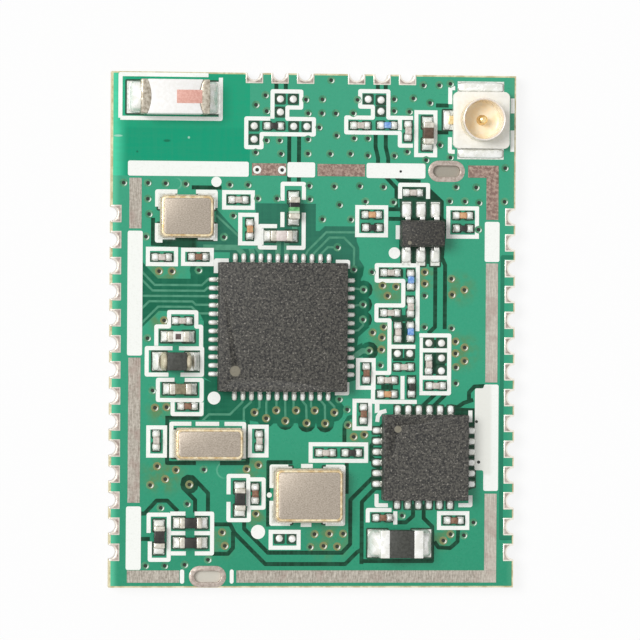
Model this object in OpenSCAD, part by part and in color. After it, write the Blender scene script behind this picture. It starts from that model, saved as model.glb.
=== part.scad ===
// Long-range radio module: a castellated board with its chips, crystals,
// chip antenna and coaxial receptacle. Origin: centre of the board in plan,
// at the underside of the edge terminals.

/* [Board] */
// Width of the board, along X
board_w = 19; // [17.5:0.1:22]
// Length of the board, along Y
board_l = 24; // [23.8:0.1:27]
// Thickness of the laminate
board_t = 0.8; // [0.4:0.1:1.6]
// Thickness of the copper with its mask
mask_t = 0.03; // [0.02:0.005:0.08]
// Bare rim of laminate outside the mask
rim = 0.08; // [0.04:0.01:0.1]
// Thickness of the white print
print_t = 0.015; // [0.01:0.005:0.04]
// Width of a printed line
print_w = 0.19; // [0.12:0.01:0.24]

/* [Edge terminals] */
// Spacing of the edge terminals
edge_pitch = 1.21; // [1.15:0.01:1.24]
// Terminals on each long edge
edge_count = 14; // [8:1:14]
// Lower edge to the last side terminal
edge_end = 1.65; // [1.3:0.05:2]
// Radius of a plated half-hole
edge_r = 0.35; // [0.2:0.01:0.38]
// Width of a terminal's pad
edge_pad_w = 0.82; // [0.78:0.02:0.95]
// Depth of a terminal's pad, in from the edge
edge_pad_d = 0.49; // [0.44:0.01:0.55]
// Thickness of the plating in the half-holes and under the board
plating_t = 0.03; // [0.02:0.005:0.05]

/* [Shield frame] */
// Width of the bare strip that a shield can is soldered to
strip_w = 0.57; // [0.4:0.01:0.62]
// Length of a lug slot
slot_l = 1.34; // [1:0.02:1.5]
// Width of a lug slot
slot_w = 0.6; // [0.4:0.02:0.66]
// Width of the plated rim round a lug slot
slot_rim = 0.2; // [0.1:0.01:0.24]

/* [Vias] */
// Radius of a via's drilled hole
via_r = 0.11; // [0.08:0.01:0.13]
// Radius of a via's ring
via_ring_r = 0.19; // [0.16:0.01:0.2]

/* [No-lead packages] */
// Side of the controller
controller_side = 6; // [5.8:0.05:6.1]
// Spacing of the controller's terminals
controller_pitch = 0.4; // [0.36:0.01:0.42]
// Side of the transceiver
transceiver_side = 4; // [3.8:0.05:4.1]
// Spacing of the transceiver's terminals
transceiver_pitch = 0.5; // [0.45:0.01:0.54]
// Height of both packages
package_h = 0.85; // [0.7:0.05:1]
// Length of pad that stands out past a package
pad_reach = 0.4; // [0.25:0.01:0.42]

/* [Switch] */
// Length of the switch's body
switch_l = 2; // [1.8:0.05:2.1]
// Width of the switch's body
switch_w = 1.25; // [1.1:0.05:1.3]
// Height of the switch
switch_h = 0.95; // [0.8:0.05:1.1]
// Spacing of the switch's leads
switch_pitch = 0.68; // [0.6:0.01:0.7]

/* [Crystals] */
// Length, width and height of the main crystal
main_crystal_size = [2.5, 2.0, 0.55];
// Length, width and height of the clock crystal
clock_crystal_size = [3.2, 1.5, 0.75];
// Length, width and height of the oscillator
oscillator_size = [3.2, 2.5, 0.9];
// Width of the gilt seam ring round a lid
seam_w = 0.1; // [0.08:0.01:0.18]

/* [Antenna] */
// Length of the chip antenna
antenna_l = 3.2; // [3:0.05:3.3]
// Width of the chip antenna
antenna_w = 1.6; // [1.4:0.05:1.65]
// Height of the chip antenna
antenna_h = 1.1; // [0.6:0.05:1.3]

/* [Coaxial receptacle] */
// Side of the insulator
coax_side = 2.65; // [2.4:0.05:2.7]
// Height of the insulator
coax_base_h = 0.35; // [0.25:0.01:0.5]
// Height of the shell
coax_h = 1.25; // [1:0.05:1.4]
// Radius of the shell
coax_r = 1; // [0.9:0.01:1.1]
// Wall of the shell
coax_wall = 0.1; // [0.06:0.01:0.14]
// Radius of the centre contact
coax_pin_r = 0.24; // [0.18:0.01:0.3]

/* [Hidden] */
$fn = 32;
quarter = 90;

edge_x = board_w / 2;
edge_y = board_l / 2;
board_z = plating_t;
copper_z = board_z + board_t;
mask_z = copper_z + mask_t;
pad_t = mask_t + print_t;
part_z = copper_z + pad_t;
bottom_mask_t = 0.02;
bottom_mask_gap = 0.005;

// The places below are laid out on a board of this size, and spread with it
layout = [19, 24];
plan_x = board_w / layout[0];
plan_y = board_l / layout[1];
function spread(p) = [p[0] * plan_x, p[1] * plan_y];
function spread_all(points) = [for (p = points) spread(p)];

// Places along the top edge that hold a terminal
top_edge_places = [-2.85, -1.65, -0.45, 1.95, 3.15, 4.35];

// Shield frame: middle lines of its four runs
strip_left = -8.37;
strip_right = 8.4;
strip_top = 7.5;
strip_bottom = -11.48;
lug_slots = [[6.22, strip_top], [-4.9, strip_bottom]];
bar_w = 0.7;

// Parts that stand by themselves
controller_at = spread([-1.5, 0.15]);
transceiver_at = spread([5.23, -5.9]);
switch_at = spread([5.02, 4.56]);
main_crystal_at = spread([-5.98, 5.28]);
clock_crystal_at = spread([-4.9, -5.3]);
oscillator_at = spread([-0.24, -7.68]);
antenna_at = spread([-6.62, 10.8]);
coax_at = spread([7.82, 9.9]);
inductor_at = spread([4.1, -9.93]);

// Chip sizes: length, width, height, terminal, reach of its solder
size_0201 = [0.6, 0.3, 0.3, 0.15, 0.17];
size_0402 = [1.0, 0.5, 0.5, 0.25, 0.28];
size_0402_flat = [1.0, 0.5, 0.35, 0.22, 0.3];
size_0603 = [1.6, 0.85, 0.8, 0.35, 0.3];
size_0805 = [2.0, 1.3, 1.0, 0.42, 0.5];

// Small parts: x, y and whether each stands along Y
grey_capacitors = [
    [-7.13, 3.37, false], [-6.16, 0.42, false], [-7.34, -5.15, true], [-2.53, -5.15, true],
    [-3.57, 6.07, false], [3.6, 2.73, false], [4.55, 1.13, true], [3.6, 0.85, false],
    [3.96, -0.05, true], [4.25, -1.68, false], [3.48, -2.3, false], [0.6, -5.7, false],
    [5.42, -1.55, true], [5.77, -2.55, false], [2.13, 9.6, false], [4.38, 9.37, true],
    [4.63, 6.48, false]
];
brown_capacitors = [
    [-5.42, 3.4, false], [-5.88, -3.55, false], [2.48, -1.98, true], [2.36, -3.88, true],
    [-2.7, -7.62, true], [3.3, -8.73, false], [6.66, -8.85, false]
];
tan_capacitors = [
    [-3.03, 4.7, true], [2.7, 5.43, false], [3.48, -2.95, false], [7.0, 5.43, false]
];
small_resistors = [
    [2.73, 4.83, false], [7.02, 4.83, false], [4.62, -2.62, true], [1.83, -5.7, false],
    [-1.93, 9.53, false]
];
small_inductors = [[4.55, 2.4, true], [4.55, -0.03, true], [3.4, 9.62, false]];
filter_capacitors = [[-6.25, -2.75, false], [-1.58, 4.4, false], [5.3, 9.26, true]];
large_resistors = [
    [-5.72, -8.98, false], [-5.72, -9.9, false], [-7.18, -9.64, true], [-3.42, -7.87, true]
];
ferrites = [[-6.44, -1.47, false]];
indicators = [[-6.37, -0.32, false]];
diodes = [[-0.98, 5.7, true]];

// Solder-covered pads that hold no part: x, y
empty_pads = [
    [-1.63, 10.79], [-1.03, 10.79], [-1.63, 10.18], [-2.85, 9.52], [-1.0, 9.52], [-0.38, 9.52],
    [-2.85, 8.9], [3.1, 10.8], [3.1, 10.27], [2.5, 10.83], [3.95, -1.05], [4.53, -1.05],
    [5.43, -0.55], [6.03, -0.55], [6.03, -1.25], [6.03, -1.85], [-1.55, -9.7], [-0.95, -9.72]
];
dome_r = 0.18;
pad_sides = 12;
via_sides = 8;
dome_h = 0.11;

// Vias in the ground pour, and vias that carry a signal: x, y
ground_vias = [
    [-8.92, 6.82], [-7.79, 6.82], [-6.97, 6.81], [-6.03, 6.79], [-7.79, 6.08], [-3.97, 6.77],
    [-3.12, 6.77], [-0.25, 6.76], [-2.66, 6.14], [-1.76, 6.15], [-0.22, 6.13], [-2.33, 10.96],
    [-2.77, 10.51], [-2.27, 10.22], [-0.43, 10.78], [-0.32, 10.14], [-2.27, 8.86], [-1.65, 8.86],
    [-2.77, 8.29], [-1.58, 8.24], [-0.32, 8.93], [-0.32, 8.26], [0.2, 9.49], [0.75, 11.7],
    [0.35, 10.8], [2.0, 10.8], [0.33, 10.15], [0.98, 10.15], [1.8, 10.17], [1.02, 9.12],
    [1.85, 9.0], [2.5, 9.0], [3.72, 10.85], [3.72, 10.3], [4.63, 10.9], [4.45, 10.27],
    [0.73, 8.26], [1.68, 8.27], [2.5, 8.2], [3.75, 8.2], [4.36, 8.4], [0.93, 6.74], [2.13, 6.77],
    [3.25, 6.74], [2.4, 6.05], [3.72, 6.03], [1.18, 5.88], [5.1, 11.52], [5.85, 11.53],
    [6.38, 11.6], [5.42, 10.7], [5.9, 8.73], [6.4, 8.15], [5.25, 8.02], [9.0, 7.68], [6.68, 6.77],
    [7.63, 6.76], [6.38, 6.1], [7.1, 6.1], [7.77, 6.04], [8.98, 6.1],
    [-7.73, 5.37], [-7.87, 4.32], [-7.25, 2.72], [-6.65, 2.72], [-7.0, 0.43], [-3.8, 5.33],
    [-4.23, 4.33], [0.38, 5.2], [1.72, 5.2], [2.73, 2.75], [3.23, 2.13], [3.87, 2.08],
    [3.47, 1.65], [3.3, 0.2], [2.77, -0.07], [3.22, -0.3], [3.2, -0.87], [3.15, -1.6],
    [7.75, 4.78], [5.22, 2.77], [5.22, 2.23], [5.22, 1.67], [6.48, 2.47], [7.1, 1.95], [6.52, 1.72],
    [5.22, 0.2], [6.5, 0.15], [-7.77, -0.4], [-7.52, -2.83], [-7.4, -3.63], [-6.86, -3.6],
    [1.23, -3.2], [1.6, -3.68], [1.64, -4.4], [1.92, -4.95], [2.42, -4.85], [6.7, -0.47],
    [7.13, -0.75], [6.7, -1.03], [7.13, -1.38], [6.72, -1.68], [6.72, -2.43], [-7.28, -6.35],
    [-6.4, -6.52], [-6.9, -6.95], [-7.6, -7.23], [-5.87, -8.1], [-7.1, -8.28], [-7.8, -10.98],
    [-6.9, -10.98], [-5.97, -10.93], [-4.88, -10.7], [-5.1, -6.5], [-3.1, -6.47], [-2.55, -6.28],
    [-2.65, -8.55], [-4.23, -9.42], [-4.1, -10.05], [0.1, -9.5], [-0.1, -10.1], [0.8, -9.48],
    [1.45, -9.48], [0.53, -10.05], [1.17, -10.08], [4.22, -8.63], [7.6, -8.95], [6.52, -9.5],
    [7.15, -9.55], [6.18, -9.8]
];
signal_vias = [
    [-5.4, 2.78], [1.1, 3.9], [1.87, 2.87], [2.34, 1.93], [2.32, 1.23], [2.32, 0.53],
    [2.62, -0.93], [-2.75, -3.83], [-2.2, -4.1], [-1.73, -3.73], [-1.3, -4.22], [-0.8, -3.73],
    [-0.3, -4.32], [0.08, -3.73], [0.57, -4.33], [1.0, -3.82], [-5.77, -7.2]
];
all_vias = spread_all(concat(ground_vias, signal_vias));
via_clearance = 0.24;

// Tracks that carry a signal: width, then the points of each
fine_track = 0.1;
fine_tracks = [
    [[-8.4, 3.05], [-7.45, 2.08], [-5.25, 2.08], [-4.95, 2.37], [-4.7, 2.37]],
    [[-8.4, 2.67], [-7.55, 1.82], [-5.13, 1.82], [-4.98, 1.97], [-4.7, 1.97]],
    [[-8.4, 1.57], [-4.7, 1.57]],
    [[-8.4, 0.62], [-7.7, 1.32], [-5.68, 1.32], [-5.53, 1.17], [-4.7, 1.17]],
    [[-8.4, -0.05], [-7.28, 1.07], [-5.72, 1.07], [-5.42, 0.77], [-4.7, 0.77]],
    [[-4.6, 5.35], [-3.3, 4.15]],
    [[-0.46, 3.4], [-0.3, 3.72], [0.57, 4.6], [2.0, 4.6]],
    [[-0.09, 3.4], [0.0, 3.62], [0.72, 4.35], [1.4, 4.35], [1.88, 3.87], [1.87, 2.87]],
    [[0.32, 3.4], [0.35, 3.6], [0.65, 3.9], [1.1, 3.9]],
    [[3.4, 5.47], [4.1, 5.47]],
    [[-5.3, -4.35], [-4.88, -3.93], [-3.9, -3.93], [-3.32, -3.35], [-3.32, -3.0]],
    [[-2.92, -3.0], [-2.92, -3.35], [-3.25, -3.65], [-3.25, -4.4]],
    [[-2.52, -3.0], [-2.52, -3.6], [-2.75, -3.83]],
    [[-2.12, -3.0], [-2.2, -3.4], [-2.2, -4.1]],
    [[-1.72, -3.0], [-1.73, -3.73]],
    [[-1.32, -3.0], [-1.3, -4.22]],
    [[-0.92, -3.0], [-0.92, -3.6], [-0.8, -3.73]],
    [[-0.5, -3.0], [-0.5, -3.3], [-0.33, -3.5], [-0.3, -4.32]],
    [[-0.1, -3.0], [-0.1, -3.55], [0.08, -3.73]],
    [[0.3, -3.0], [0.3, -3.2], [0.55, -3.5], [0.57, -4.33]],
    [[0.7, -3.0], [0.7, -3.25], [1.0, -3.55], [1.0, -3.82]],
    [[1.9, 1.98], [2.34, 1.93]],
    [[1.9, 1.18], [2.32, 1.23]],
    [[1.7, -0.04], [2.1, 0.03], [2.32, 0.25], [2.32, 0.53]]
];
wide_track = 0.25;
wide_tracks = [
    [[-5.2, 3.85], [-3.6, 3.85], [-3.28, 3.5]],
    [[-3.0, 4.0], [-2.88, 3.5]],
    [[-2.75, 3.95], [-2.5, 3.65], [-2.5, 3.5]],
    [[-0.92, 5.1], [-0.92, 4.6]],
    [[-1.3, 4.2], [-1.28, 3.5]],
    [[-1.68, 4.2], [-1.7, 3.5]],
    [[1.9, -1.22], [2.3, -0.93], [2.62, -0.93]],
    [[7.45, -7.13], [8.1, -7.13]],
    [[7.45, -6.65], [8.1, -6.65]]
];

// Mask-covered laminate, seen dark: width, then the points of each channel
channel_w = 0.19;
channels = [
    // feed to the coaxial receptacle and its matching parts
    [[2.86, 9.2], [2.86, 8.6], [2.98, 8.1], [2.98, 7.6], [3.86, 6.68], [3.86, 5.8]],
    [[3.34, 9.2], [3.34, 8.6], [3.46, 8.1], [3.46, 7.6], [4.0, 7.05], [5.0, 7.0]],
    [[-1.2, 9.1], [-1.2, 6.9]],
    [[-0.74, 9.1], [-0.74, 6.9]],
    [[-1.82, 11.6], [-1.82, 11.05]],
    [[-1.38, 11.6], [-1.38, 11.05]],
    [[2.95, 11.6], [2.95, 11.1]],
    [[3.32, 11.6], [3.32, 11.1]],
    [[5.55, 9.32], [6.3, 9.32]],
    [[5.7, 10.58], [6.3, 10.58]],
    // main crystal
    [[-5.75, 6.63], [-4.35, 6.63]],
    // crystal surround and its feeds
    [[-6.82, -4.1], [-3.08, -4.1]],
    [[-6.82, -4.0], [-6.82, -6.2], [-5.47, -6.2]],
    [[-4.35, -6.2], [-3.06, -6.2], [-3.06, -4.1]],
    // oscillator surround
    [[-2.08, -6.1], [-2.08, -9.15]],
    [[-2.15, -6.15], [-0.95, -6.15]],
    [[1.6, -6.1], [1.6, -7.62]],
    // loop round the lone via at lower left
    [
        [-4.9, -8.5], [-4.9, -7.6], [-5.48, -7.0], [-5.62, -6.86], [-5.86, -6.83], [-6.05, -6.95],
        [-6.1, -7.2], [-6.0, -7.42], [-5.5, -7.92], [-5.5, -8.5]
    ],
    [[-8.2, -8.55], [-7.85, -8.55], [-7.3, -7.95], [-6.8, -7.95], [-6.3, -8.45]],
    [[-8.2, -9.73], [-7.6, -9.73]],
    // wide feed along the bottom
    [
        [-4.7, -9.05], [-3.85, -9.05], [-3.65, -9.45], [-2.2, -10.9], [1.55, -10.9], [2.1, -10.35],
        [2.35, -10.2]
    ],
    [
        [-3.2, -8.8], [-3.2, -9.25], [-2.08, -10.37], [1.4, -10.37], [1.78, -9.97], [1.78, -7.9],
        [2.78, -6.9], [3.3, -6.9]
    ],
    [[2.32, -10.9], [2.32, -8.0], [2.95, -7.35], [3.3, -7.35]],
    [[-4.7, -10.42], [-3.95, -10.42], [-3.72, -10.15], [-3.72, -9.4]],
    [[2.3, -10.76], [5.65, -10.76], [5.65, -9.15], [5.24, -8.75], [5.24, -8.1]],
    [[4.74, -8.1], [4.74, -8.65], [4.4, -8.95], [3.9, -8.95]],
    [[5.75, -9.85], [5.95, -10.12], [6.5, -10.15], [6.85, -9.85], [6.88, -9.3]],
    // supply corner between the two packages
    [[1.48, -5.2], [1.48, -4.4], [1.68, -4.05], [1.95, -4.0]],
    [[2.75, -6.1], [2.75, -5.35], [3.15, -4.95]],
    [[2.8, -5.9], [2.88, -6.3], [3.2, -6.4]],
    [[5.15, -3.5], [5.75, -2.95]],
    [[5.68, -3.5], [6.25, -2.95]],
    [[6.2, -3.65], [6.5, -3.5], [6.8, -3.55], [7.1, -3.35], [7.55, -3.2]],
    [[7.35, -3.2], [7.35, -2.85], [7.6, -2.58], [8.1, -2.55]],
    // antenna switch feeds
    [[5.42, 3.5], [5.72, 3.02], [5.72, 0.2], [5.4, -0.1]],
    [[6.05, 3.4], [6.18, 3.1], [6.18, 0.1]],
    [[3.5, 5.7], [4.1, 5.7]],
    [[3.5, 5.25], [4.1, 5.25]],
    // edge of the inner planes beside the side terminals
    [[9.45, 3.5], [8.9, 3.5], [8.9, -9.68], [9.45, -9.68]]
];
// Open stretches of mask-covered laminate: corners of each
clearings = [
    // keep-out under the chip antenna
    [[-9.5, 7.15], [-3.05, 7.15], [-3.05, 12.0], [-9.5, 12.0]],
    // main crystal
    [
        [-7.64, 5.2], [-7.64, 3.9], [-3.5, 3.7], [-3.4, 4.35], [-4.6, 5.65], [-4.6, 4.5],
        [-7.45, 4.5], [-7.45, 5.2]
    ],
    // bundle of tracks to the controller
    [
        [-8.06, 0.15], [-7.98, 0.15], [-7.25, 0.87], [-5.4, 0.87], [-5.15, 0.4], [-5.15, -2.2],
        [-4.3, -2.7], [-4.3, 3.25], [-5.78, 3.0], [-5.78, 2.38], [-7.3, 2.38], [-7.85, 2.95],
        [-8.06, 3.2]
    ],
    // above the controller
    [
        [-4.7, 3.1], [1.4, 3.1], [1.7, 2.6], [2.2, 2.4], [2.3, 2.6], [2.36, 3.0], [2.13, 3.35],
        [2.13, 3.85], [2.0, 4.2], [1.95, 4.88], [0.5, 4.88], [0.25, 4.65], [0.07, 4.65],
        [0.07, 5.92], [-2.75, 5.92], [-2.75, 3.8], [-4.95, 3.75], [-4.95, 3.62], [-3.95, 3.62],
        [-3.95, 3.34], [-4.7, 3.34]
    ],
    // right of the controller
    [
        [1.3, 2.8], [2.2, 2.4], [2.3, 0.2], [2.65, 0.2], [2.1, -0.3], [2.05, -0.68], [2.3, -0.55],
        [2.3, -1.2], [2.0, -1.3], [2.0, -2.3], [1.3, -2.5]
    ],
    // below the controller
    [
        [-5.1, -2.3], [-4.3, -2.6], [1.05, -2.6], [1.05, -3.0], [1.5, -3.6], [1.35, -3.95],
        [0.95, -4.3], [-2.15, -4.35], [-3.0, -4.2], [-5.15, -4.2], [-5.1, -3.6]
    ],
    // around the switch
    [
        [3.95, 6.75], [5.4, 6.75], [6.1, 6.1], [6.1, 5.3], [6.25, 5.2], [6.12, 3.4], [5.95, 3.15],
        [4.1, 3.15], [4.0, 3.9], [4.05, 5.2]
    ],
    // between the chips of the matching networks
    [[3.15, -4.4], [3.15, -5.0], [7.2, -7.5], [7.7, -7.3], [7.7, -3.6], [5.0, -3.5], [4.2, -3.5]],
    [[3.0, 2.5], [4.2, 2.5], [4.2, 2.9], [3.0, 2.9]],
    [[3.65, 0.45], [4.7, 0.45], [4.7, 0.75], [3.65, 0.75]],
    [[3.75, -0.6], [4.75, -0.6], [4.75, 0.4], [3.75, 0.4]],
    [[3.75, -1.4], [4.75, -1.4], [4.75, -1.25], [3.75, -1.25]],
    [[4.4, -3.15], [4.85, -3.15], [4.85, -2.05], [4.4, -2.05]],
    [[3.2, -2.75], [3.75, -2.75], [3.75, -2.5], [3.2, -2.5]],
    [[5.2, -2.0], [6.2, -2.0], [6.2, -1.0], [5.2, -1.0]],
    [[5.2, -0.75], [6.25, -0.75], [6.25, -0.4], [5.2, -0.4]]
];

// Printed outlines: closed rectangles by their outer corners
print_boxes = [
    [-7.87, 2.95, -6.37, 3.85], [-6.23, 2.97, -4.7, 3.82], [-7.8, -5.95, -6.83, -4.45],
    [-3.05, -5.93, -2.08, -4.4], [-0.2, -6.17, 2.6, -5.21], [2.0, -2.75, 2.93, -1.27],
    [1.85, -4.65, 2.77, -3.17], [-3.57, 3.95, -2.62, 5.47], [-4.33, 5.61, -2.8, 6.52],
    [1.92, 4.38, 3.47, 5.88], [6.22, 4.35, 7.77, 5.87], [5.87, -9.3, 7.4, -8.42],
    [-2.05, -10.23, -0.55, -9.3], [4.68, 8.15, 5.77, 10.35]
];
// Printed lines: points of each
print_lines = [
    // matching network left of the top edge
    [
        [-2.0, 9.87], [-2.0, 11.15], [-0.65, 11.15], [-0.65, 10.4], [-1.3, 10.4], [-1.3, 9.87],
        [-0.05, 9.87], [-0.05, 9.15], [-2.5, 9.15], [-2.5, 8.53], [-3.22, 8.53], [-3.22, 9.87],
        [-2.1, 9.87]
    ],
    // matching network beside the coaxial receptacle
    [
        [4.62, 9.98], [3.45, 9.98], [3.45, 11.21], [2.12, 11.21], [2.12, 10.48], [2.72, 10.48],
        [2.72, 9.97], [1.47, 9.97], [1.47, 9.27], [4.0, 9.27], [4.0, 8.68], [4.62, 8.68]
    ],
    [[4.0, 9.9], [4.0, 9.4]],
    // chip antenna
    [[-9.1, 9.83], [-9.1, 11.86], [-5.0, 11.86]],
    [[-9.1, 9.83], [-4.42, 9.83], [-4.42, 11.75]],
    // coaxial receptacle
    [[6.37, 10.65], [6.37, 11.4], [6.6, 11.4]],
    [[6.37, 9.1], [6.37, 8.42], [6.6, 8.42]],
    [[9.33, 8.45], [9.33, 9.45]],
    [[9.33, 10.25], [9.33, 10.95]],
    // diode
    [[-1.5, 6.05], [-1.5, 6.84], [-0.5, 6.84], [-0.5, 6.1]],
    [[-1.5, 5.52], [-1.5, 4.82]],
    [[-0.5, 5.5], [-0.5, 3.86], [-1.3, 3.86]],
    [[-1.75, 3.86], [-2.55, 3.86], [-2.55, 4.86], [-1.75, 4.86]],
    // antenna switch
    [[4.03, 6.2], [4.03, 6.85], [5.35, 6.85], [5.35, 6.2]],
    [[3.93, 4.95], [3.93, 4.3]],
    // main crystal
    [[-7.36, 5.72], [-7.36, 6.43], [-6.42, 6.43]],
    [[-7.36, 4.95], [-7.36, 4.14], [-7.1, 4.14]],
    [[-5.55, 6.43], [-4.63, 6.43], [-4.63, 5.68]],
    [[-4.63, 4.95], [-4.63, 4.15]],
    // indicator, ferrite and their capacitors
    [
        [-5.27, -0.83], [-5.27, 0.15], [-5.5, 0.15], [-5.5, 0.82], [-6.77, 0.82], [-6.77, 0.15],
        [-7.36, 0.15], [-7.36, -0.75]
    ],
    [[-6.6, -0.86], [-7.8, -0.86], [-7.8, -2.09], [-6.78, -2.09]],
    [[-6.3, -0.86], [-5.22, -0.86], [-5.22, -2.09], [-6.22, -2.09]],
    [[-6.5, -2.33], [-7.27, -2.33], [-7.27, -3.27], [-5.23, -3.27], [-5.23, -2.33], [-6.02, -2.33]],
    [[-6.58, -3.37], [-6.58, -3.92], [-5.23, -3.92], [-5.23, -3.37]],
    // clock crystal
    [[-5.7, -4.37], [-6.63, -4.37], [-6.63, -5.95]],
    [[-5.5, -4.37], [-4.4, -4.37]],
    [[-4.15, -4.37], [-3.23, -4.37], [-3.23, -5.98]],
    // oscillator
    [[-1.15, -6.35], [-1.93, -6.35], [-1.93, -7.35]],
    [[-1.93, -7.95], [-1.93, -9.02], [-1.05, -9.02]],
    [[-0.55, -6.32], [0.0, -6.32]],
    [[0.62, -6.35], [1.44, -6.35], [1.44, -9.02], [0.62, -9.02]],
    [[-0.55, -9.07], [-0.05, -9.07]],
    // transceiver matching network
    [
        [4.88, -3.31], [2.81, -3.31], [2.81, -1.96], [3.57, -1.96], [3.57, 0.5], [2.95, 0.5],
        [2.95, 1.2], [4.21, 1.2], [4.21, 2.35], [2.95, 2.35], [2.95, 3.08], [4.89, 3.08], [4.89, 0.0]
    ],
    [[3.65, -0.73], [4.8, -0.73]],
    [[4.2, -2.1], [4.2, -3.2]],
    [[4.98, -0.19], [6.4, -0.19], [6.4, -2.9], [5.0, -2.9]],
    [[5.1, -0.89], [6.3, -0.89]],
    [[5.1, -2.17], [6.3, -2.17]],
    // corners of the transceiver
    [[3.45, -3.73], [3.18, -3.8], [3.05, -4.0], [3.02, -4.25]],
    [[7.42, -3.7], [7.42, -4.25]],
    [[7.45, -7.68], [7.45, -8.14], [6.88, -8.14]],
    [[3.01, -7.62], [3.01, -8.15], [3.55, -8.15]],
    [[2.6, -8.95], [2.6, -8.37], [3.72, -8.37]],
    [[3.9, -8.43], [3.9, -9.05]],
    // corners of the controller
    [[-4.6, 2.65], [-4.6, 3.24], [-4.0, 3.24]],
    [[1.02, 3.22], [1.6, 3.22], [1.6, 2.9]],
    [[1.02, -2.92], [1.6, -2.92], [1.6, -2.4]],
    // capacitor pair at lower left
    [
        [-3.94, -7.65], [-3.94, -6.79], [-3.02, -6.79], [-3.02, -6.95], [-2.3, -6.95], [-2.3, -8.27],
        [-2.98, -8.27], [-2.98, -8.85], [-3.94, -8.85], [-3.94, -8.0]
    ],
    [[-3.02, -7.0], [-3.02, -8.2]],
    // three large resistors
    [[-7.66, -9.45], [-7.66, -8.6], [-6.72, -8.6], [-6.72, -10.7], [-7.6, -10.7], [-7.6, -9.85]],
    [[-6.66, -8.55], [-5.95, -8.55]],
    [[-5.52, -8.55], [-4.7, -8.55], [-4.7, -10.4], [-5.5, -10.4]],
    [[-6.62, -9.46], [-5.95, -9.46]],
    [[-5.52, -9.46], [-4.8, -9.46]],
    [[-6.62, -10.4], [-5.92, -10.4]]
];
// Printed dots that mark the first terminal: x, y, radius
print_dots = [
    [-4.65, -3.17, 0.3], [3.78, 3.65, 0.27], [-2.55, -9.4, 0.33], [-4.6, 6.9, 0.24], [-2.03, -7.68, 0.12]
];
// Solid printed patches: corners of each
print_patches = [
    [[2.9, -3.4], [3.12, -3.4], [3.12, -3.8], [2.9, -3.85]],
    [[-2.45, 3.98], [-2.45, 4.75], [-2.38, 4.75], [-2.38, 3.98]],
    [[5.0, -0.3], [5.15, -0.3], [5.15, -2.8], [5.0, -2.8]]
];

// Shield frame: bare lengths and printed bars, each from one end to the other
left_bare = [[4.7, 7.05], [-8.05, -1.31]];
left_bars = [[-1.21, 4.59], [-11.17, -8.22]];
right_bare = [[5.24, 7.21], [-2.38, 3.2], [-11.19, -7.6]];
right_bars = [[3.27, 5.15], [-7.47, -2.48]];
top_bare = [[-2.94, -1.33], [0.13, 2.37], [7.24, strip_right + strip_w / 2]];
top_bars = [[-8.73, -3.09], [-1.28, 0.02], [2.44, 5.22]];
bottom_bare = [[-8.66, -6.22], [-3.55, strip_right + strip_w / 2]];
bottom_bars = [[-6.19, -5.99], [-3.86, -3.68]];
wide_bar = [[7.63, -6.5], [8.2, -2.66]];
bottom_bar_l = 0.66;

// Outline helpers
function unit(v) = v / norm(v);
function left_of(v) = [-v[1], v[0]];
// Radius of the arc that stands so high over half its chord
function cap_radius(half, height) = (half * half + height * height) / (2 * height);
function turn_of(a, b) = a[0] * b[1] - a[1] * b[0];
function corner(p, a, b, reach, side) =
    let (na = left_of(a) * side, nb = left_of(b) * side, outer = turn_of(a, b) * side < -0.01)
    outer
        ? [for (t = [0, 0.5, 1]) p + reach * unit(na * (1 - t) + nb * t)]
        : [p + reach * (na + nb) / (1 + na * nb)];
function stroke_side(points, reach, side) = [
    for (i = [0:len(points) - 1])
        let (
            a = unit(i == 0 ? points[1] - points[0] : points[i] - points[i - 1]),
            b = unit(i == len(points) - 1 ? points[i] - points[i - 1] : points[i + 1] - points[i])
        )
        each corner(points[i], a, b, reach, side)
];
function reversed(list) = [for (i = [len(list) - 1:-1:0]) list[i]];

module stroke(points, width) {
    polygon(concat(stroke_side(points, width / 2, 1), reversed(stroke_side(points, width / 2, -1))));
}

module rounded_rect(size, r) {
    square([size[0] - 2 * r, size[1]], center = true);
    square([size[0], size[1] - 2 * r], center = true);
    for (x = [-1, 1], y = [-1, 1])
        translate([x * (size[0] / 2 - r), y * (size[1] / 2 - r)]) circle(r);
}

module stadium(length, width) {
    square([length - width, width], center = true);
    for (x = [-1, 1]) translate([x * (length - width) / 2, 0]) circle(d = width);
}

module corners_box(low, high, inward = 0) {
    a = spread(low);
    b = spread(high);
    translate([a[0] + inward, a[1] + inward])
        square([b[0] - a[0] - 2 * inward, b[1] - a[1] - 2 * inward]);
}

module both_ways() {
    children();
    rotate(2 * quarter) children();
}

module each_place(places) {
    for (place = places)
        translate(spread(place)) rotate(place[2] ? quarter : 0) children();
}

// Board outline and its openings
module edge_places() {
    for (side = [-1, 1], i = [0:edge_count - 1])
        translate([side * edge_x, edge_end - edge_y + i * edge_pitch])
            rotate(side > 0 ? 0 : 2 * quarter) children();
    for (x = top_edge_places)
        translate([x * plan_x, edge_y]) rotate(quarter) children();
}

module slot_places() {
    for (slot = lug_slots) translate(spread(slot)) children();
}

module board_shape() {
    difference() {
        square([board_w, board_l], center = true);
        edge_places() circle(edge_r);
        slot_places() stadium(slot_l, slot_w);
    }
}

module edge_pad() {
    translate([-edge_pad_d, -edge_pad_w / 2]) square([edge_pad_d, edge_pad_w]);
}

module vertical_runs(x, runs, width) {
    for (run = runs)
        translate([x * plan_x - width / 2, run[0] * plan_y]) square([width, (run[1] - run[0]) * plan_y]);
}

module horizontal_runs(y, runs, width) {
    for (run = runs)
        translate([run[0] * plan_x, y * plan_y - width / 2]) square([(run[1] - run[0]) * plan_x, width]);
}

module strip_shape() {
    vertical_runs(strip_left, left_bare, strip_w);
    vertical_runs(strip_right, right_bare, strip_w);
    horizontal_runs(strip_top, top_bare, strip_w);
    horizontal_runs(strip_bottom, bottom_bare, strip_w);
}

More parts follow.
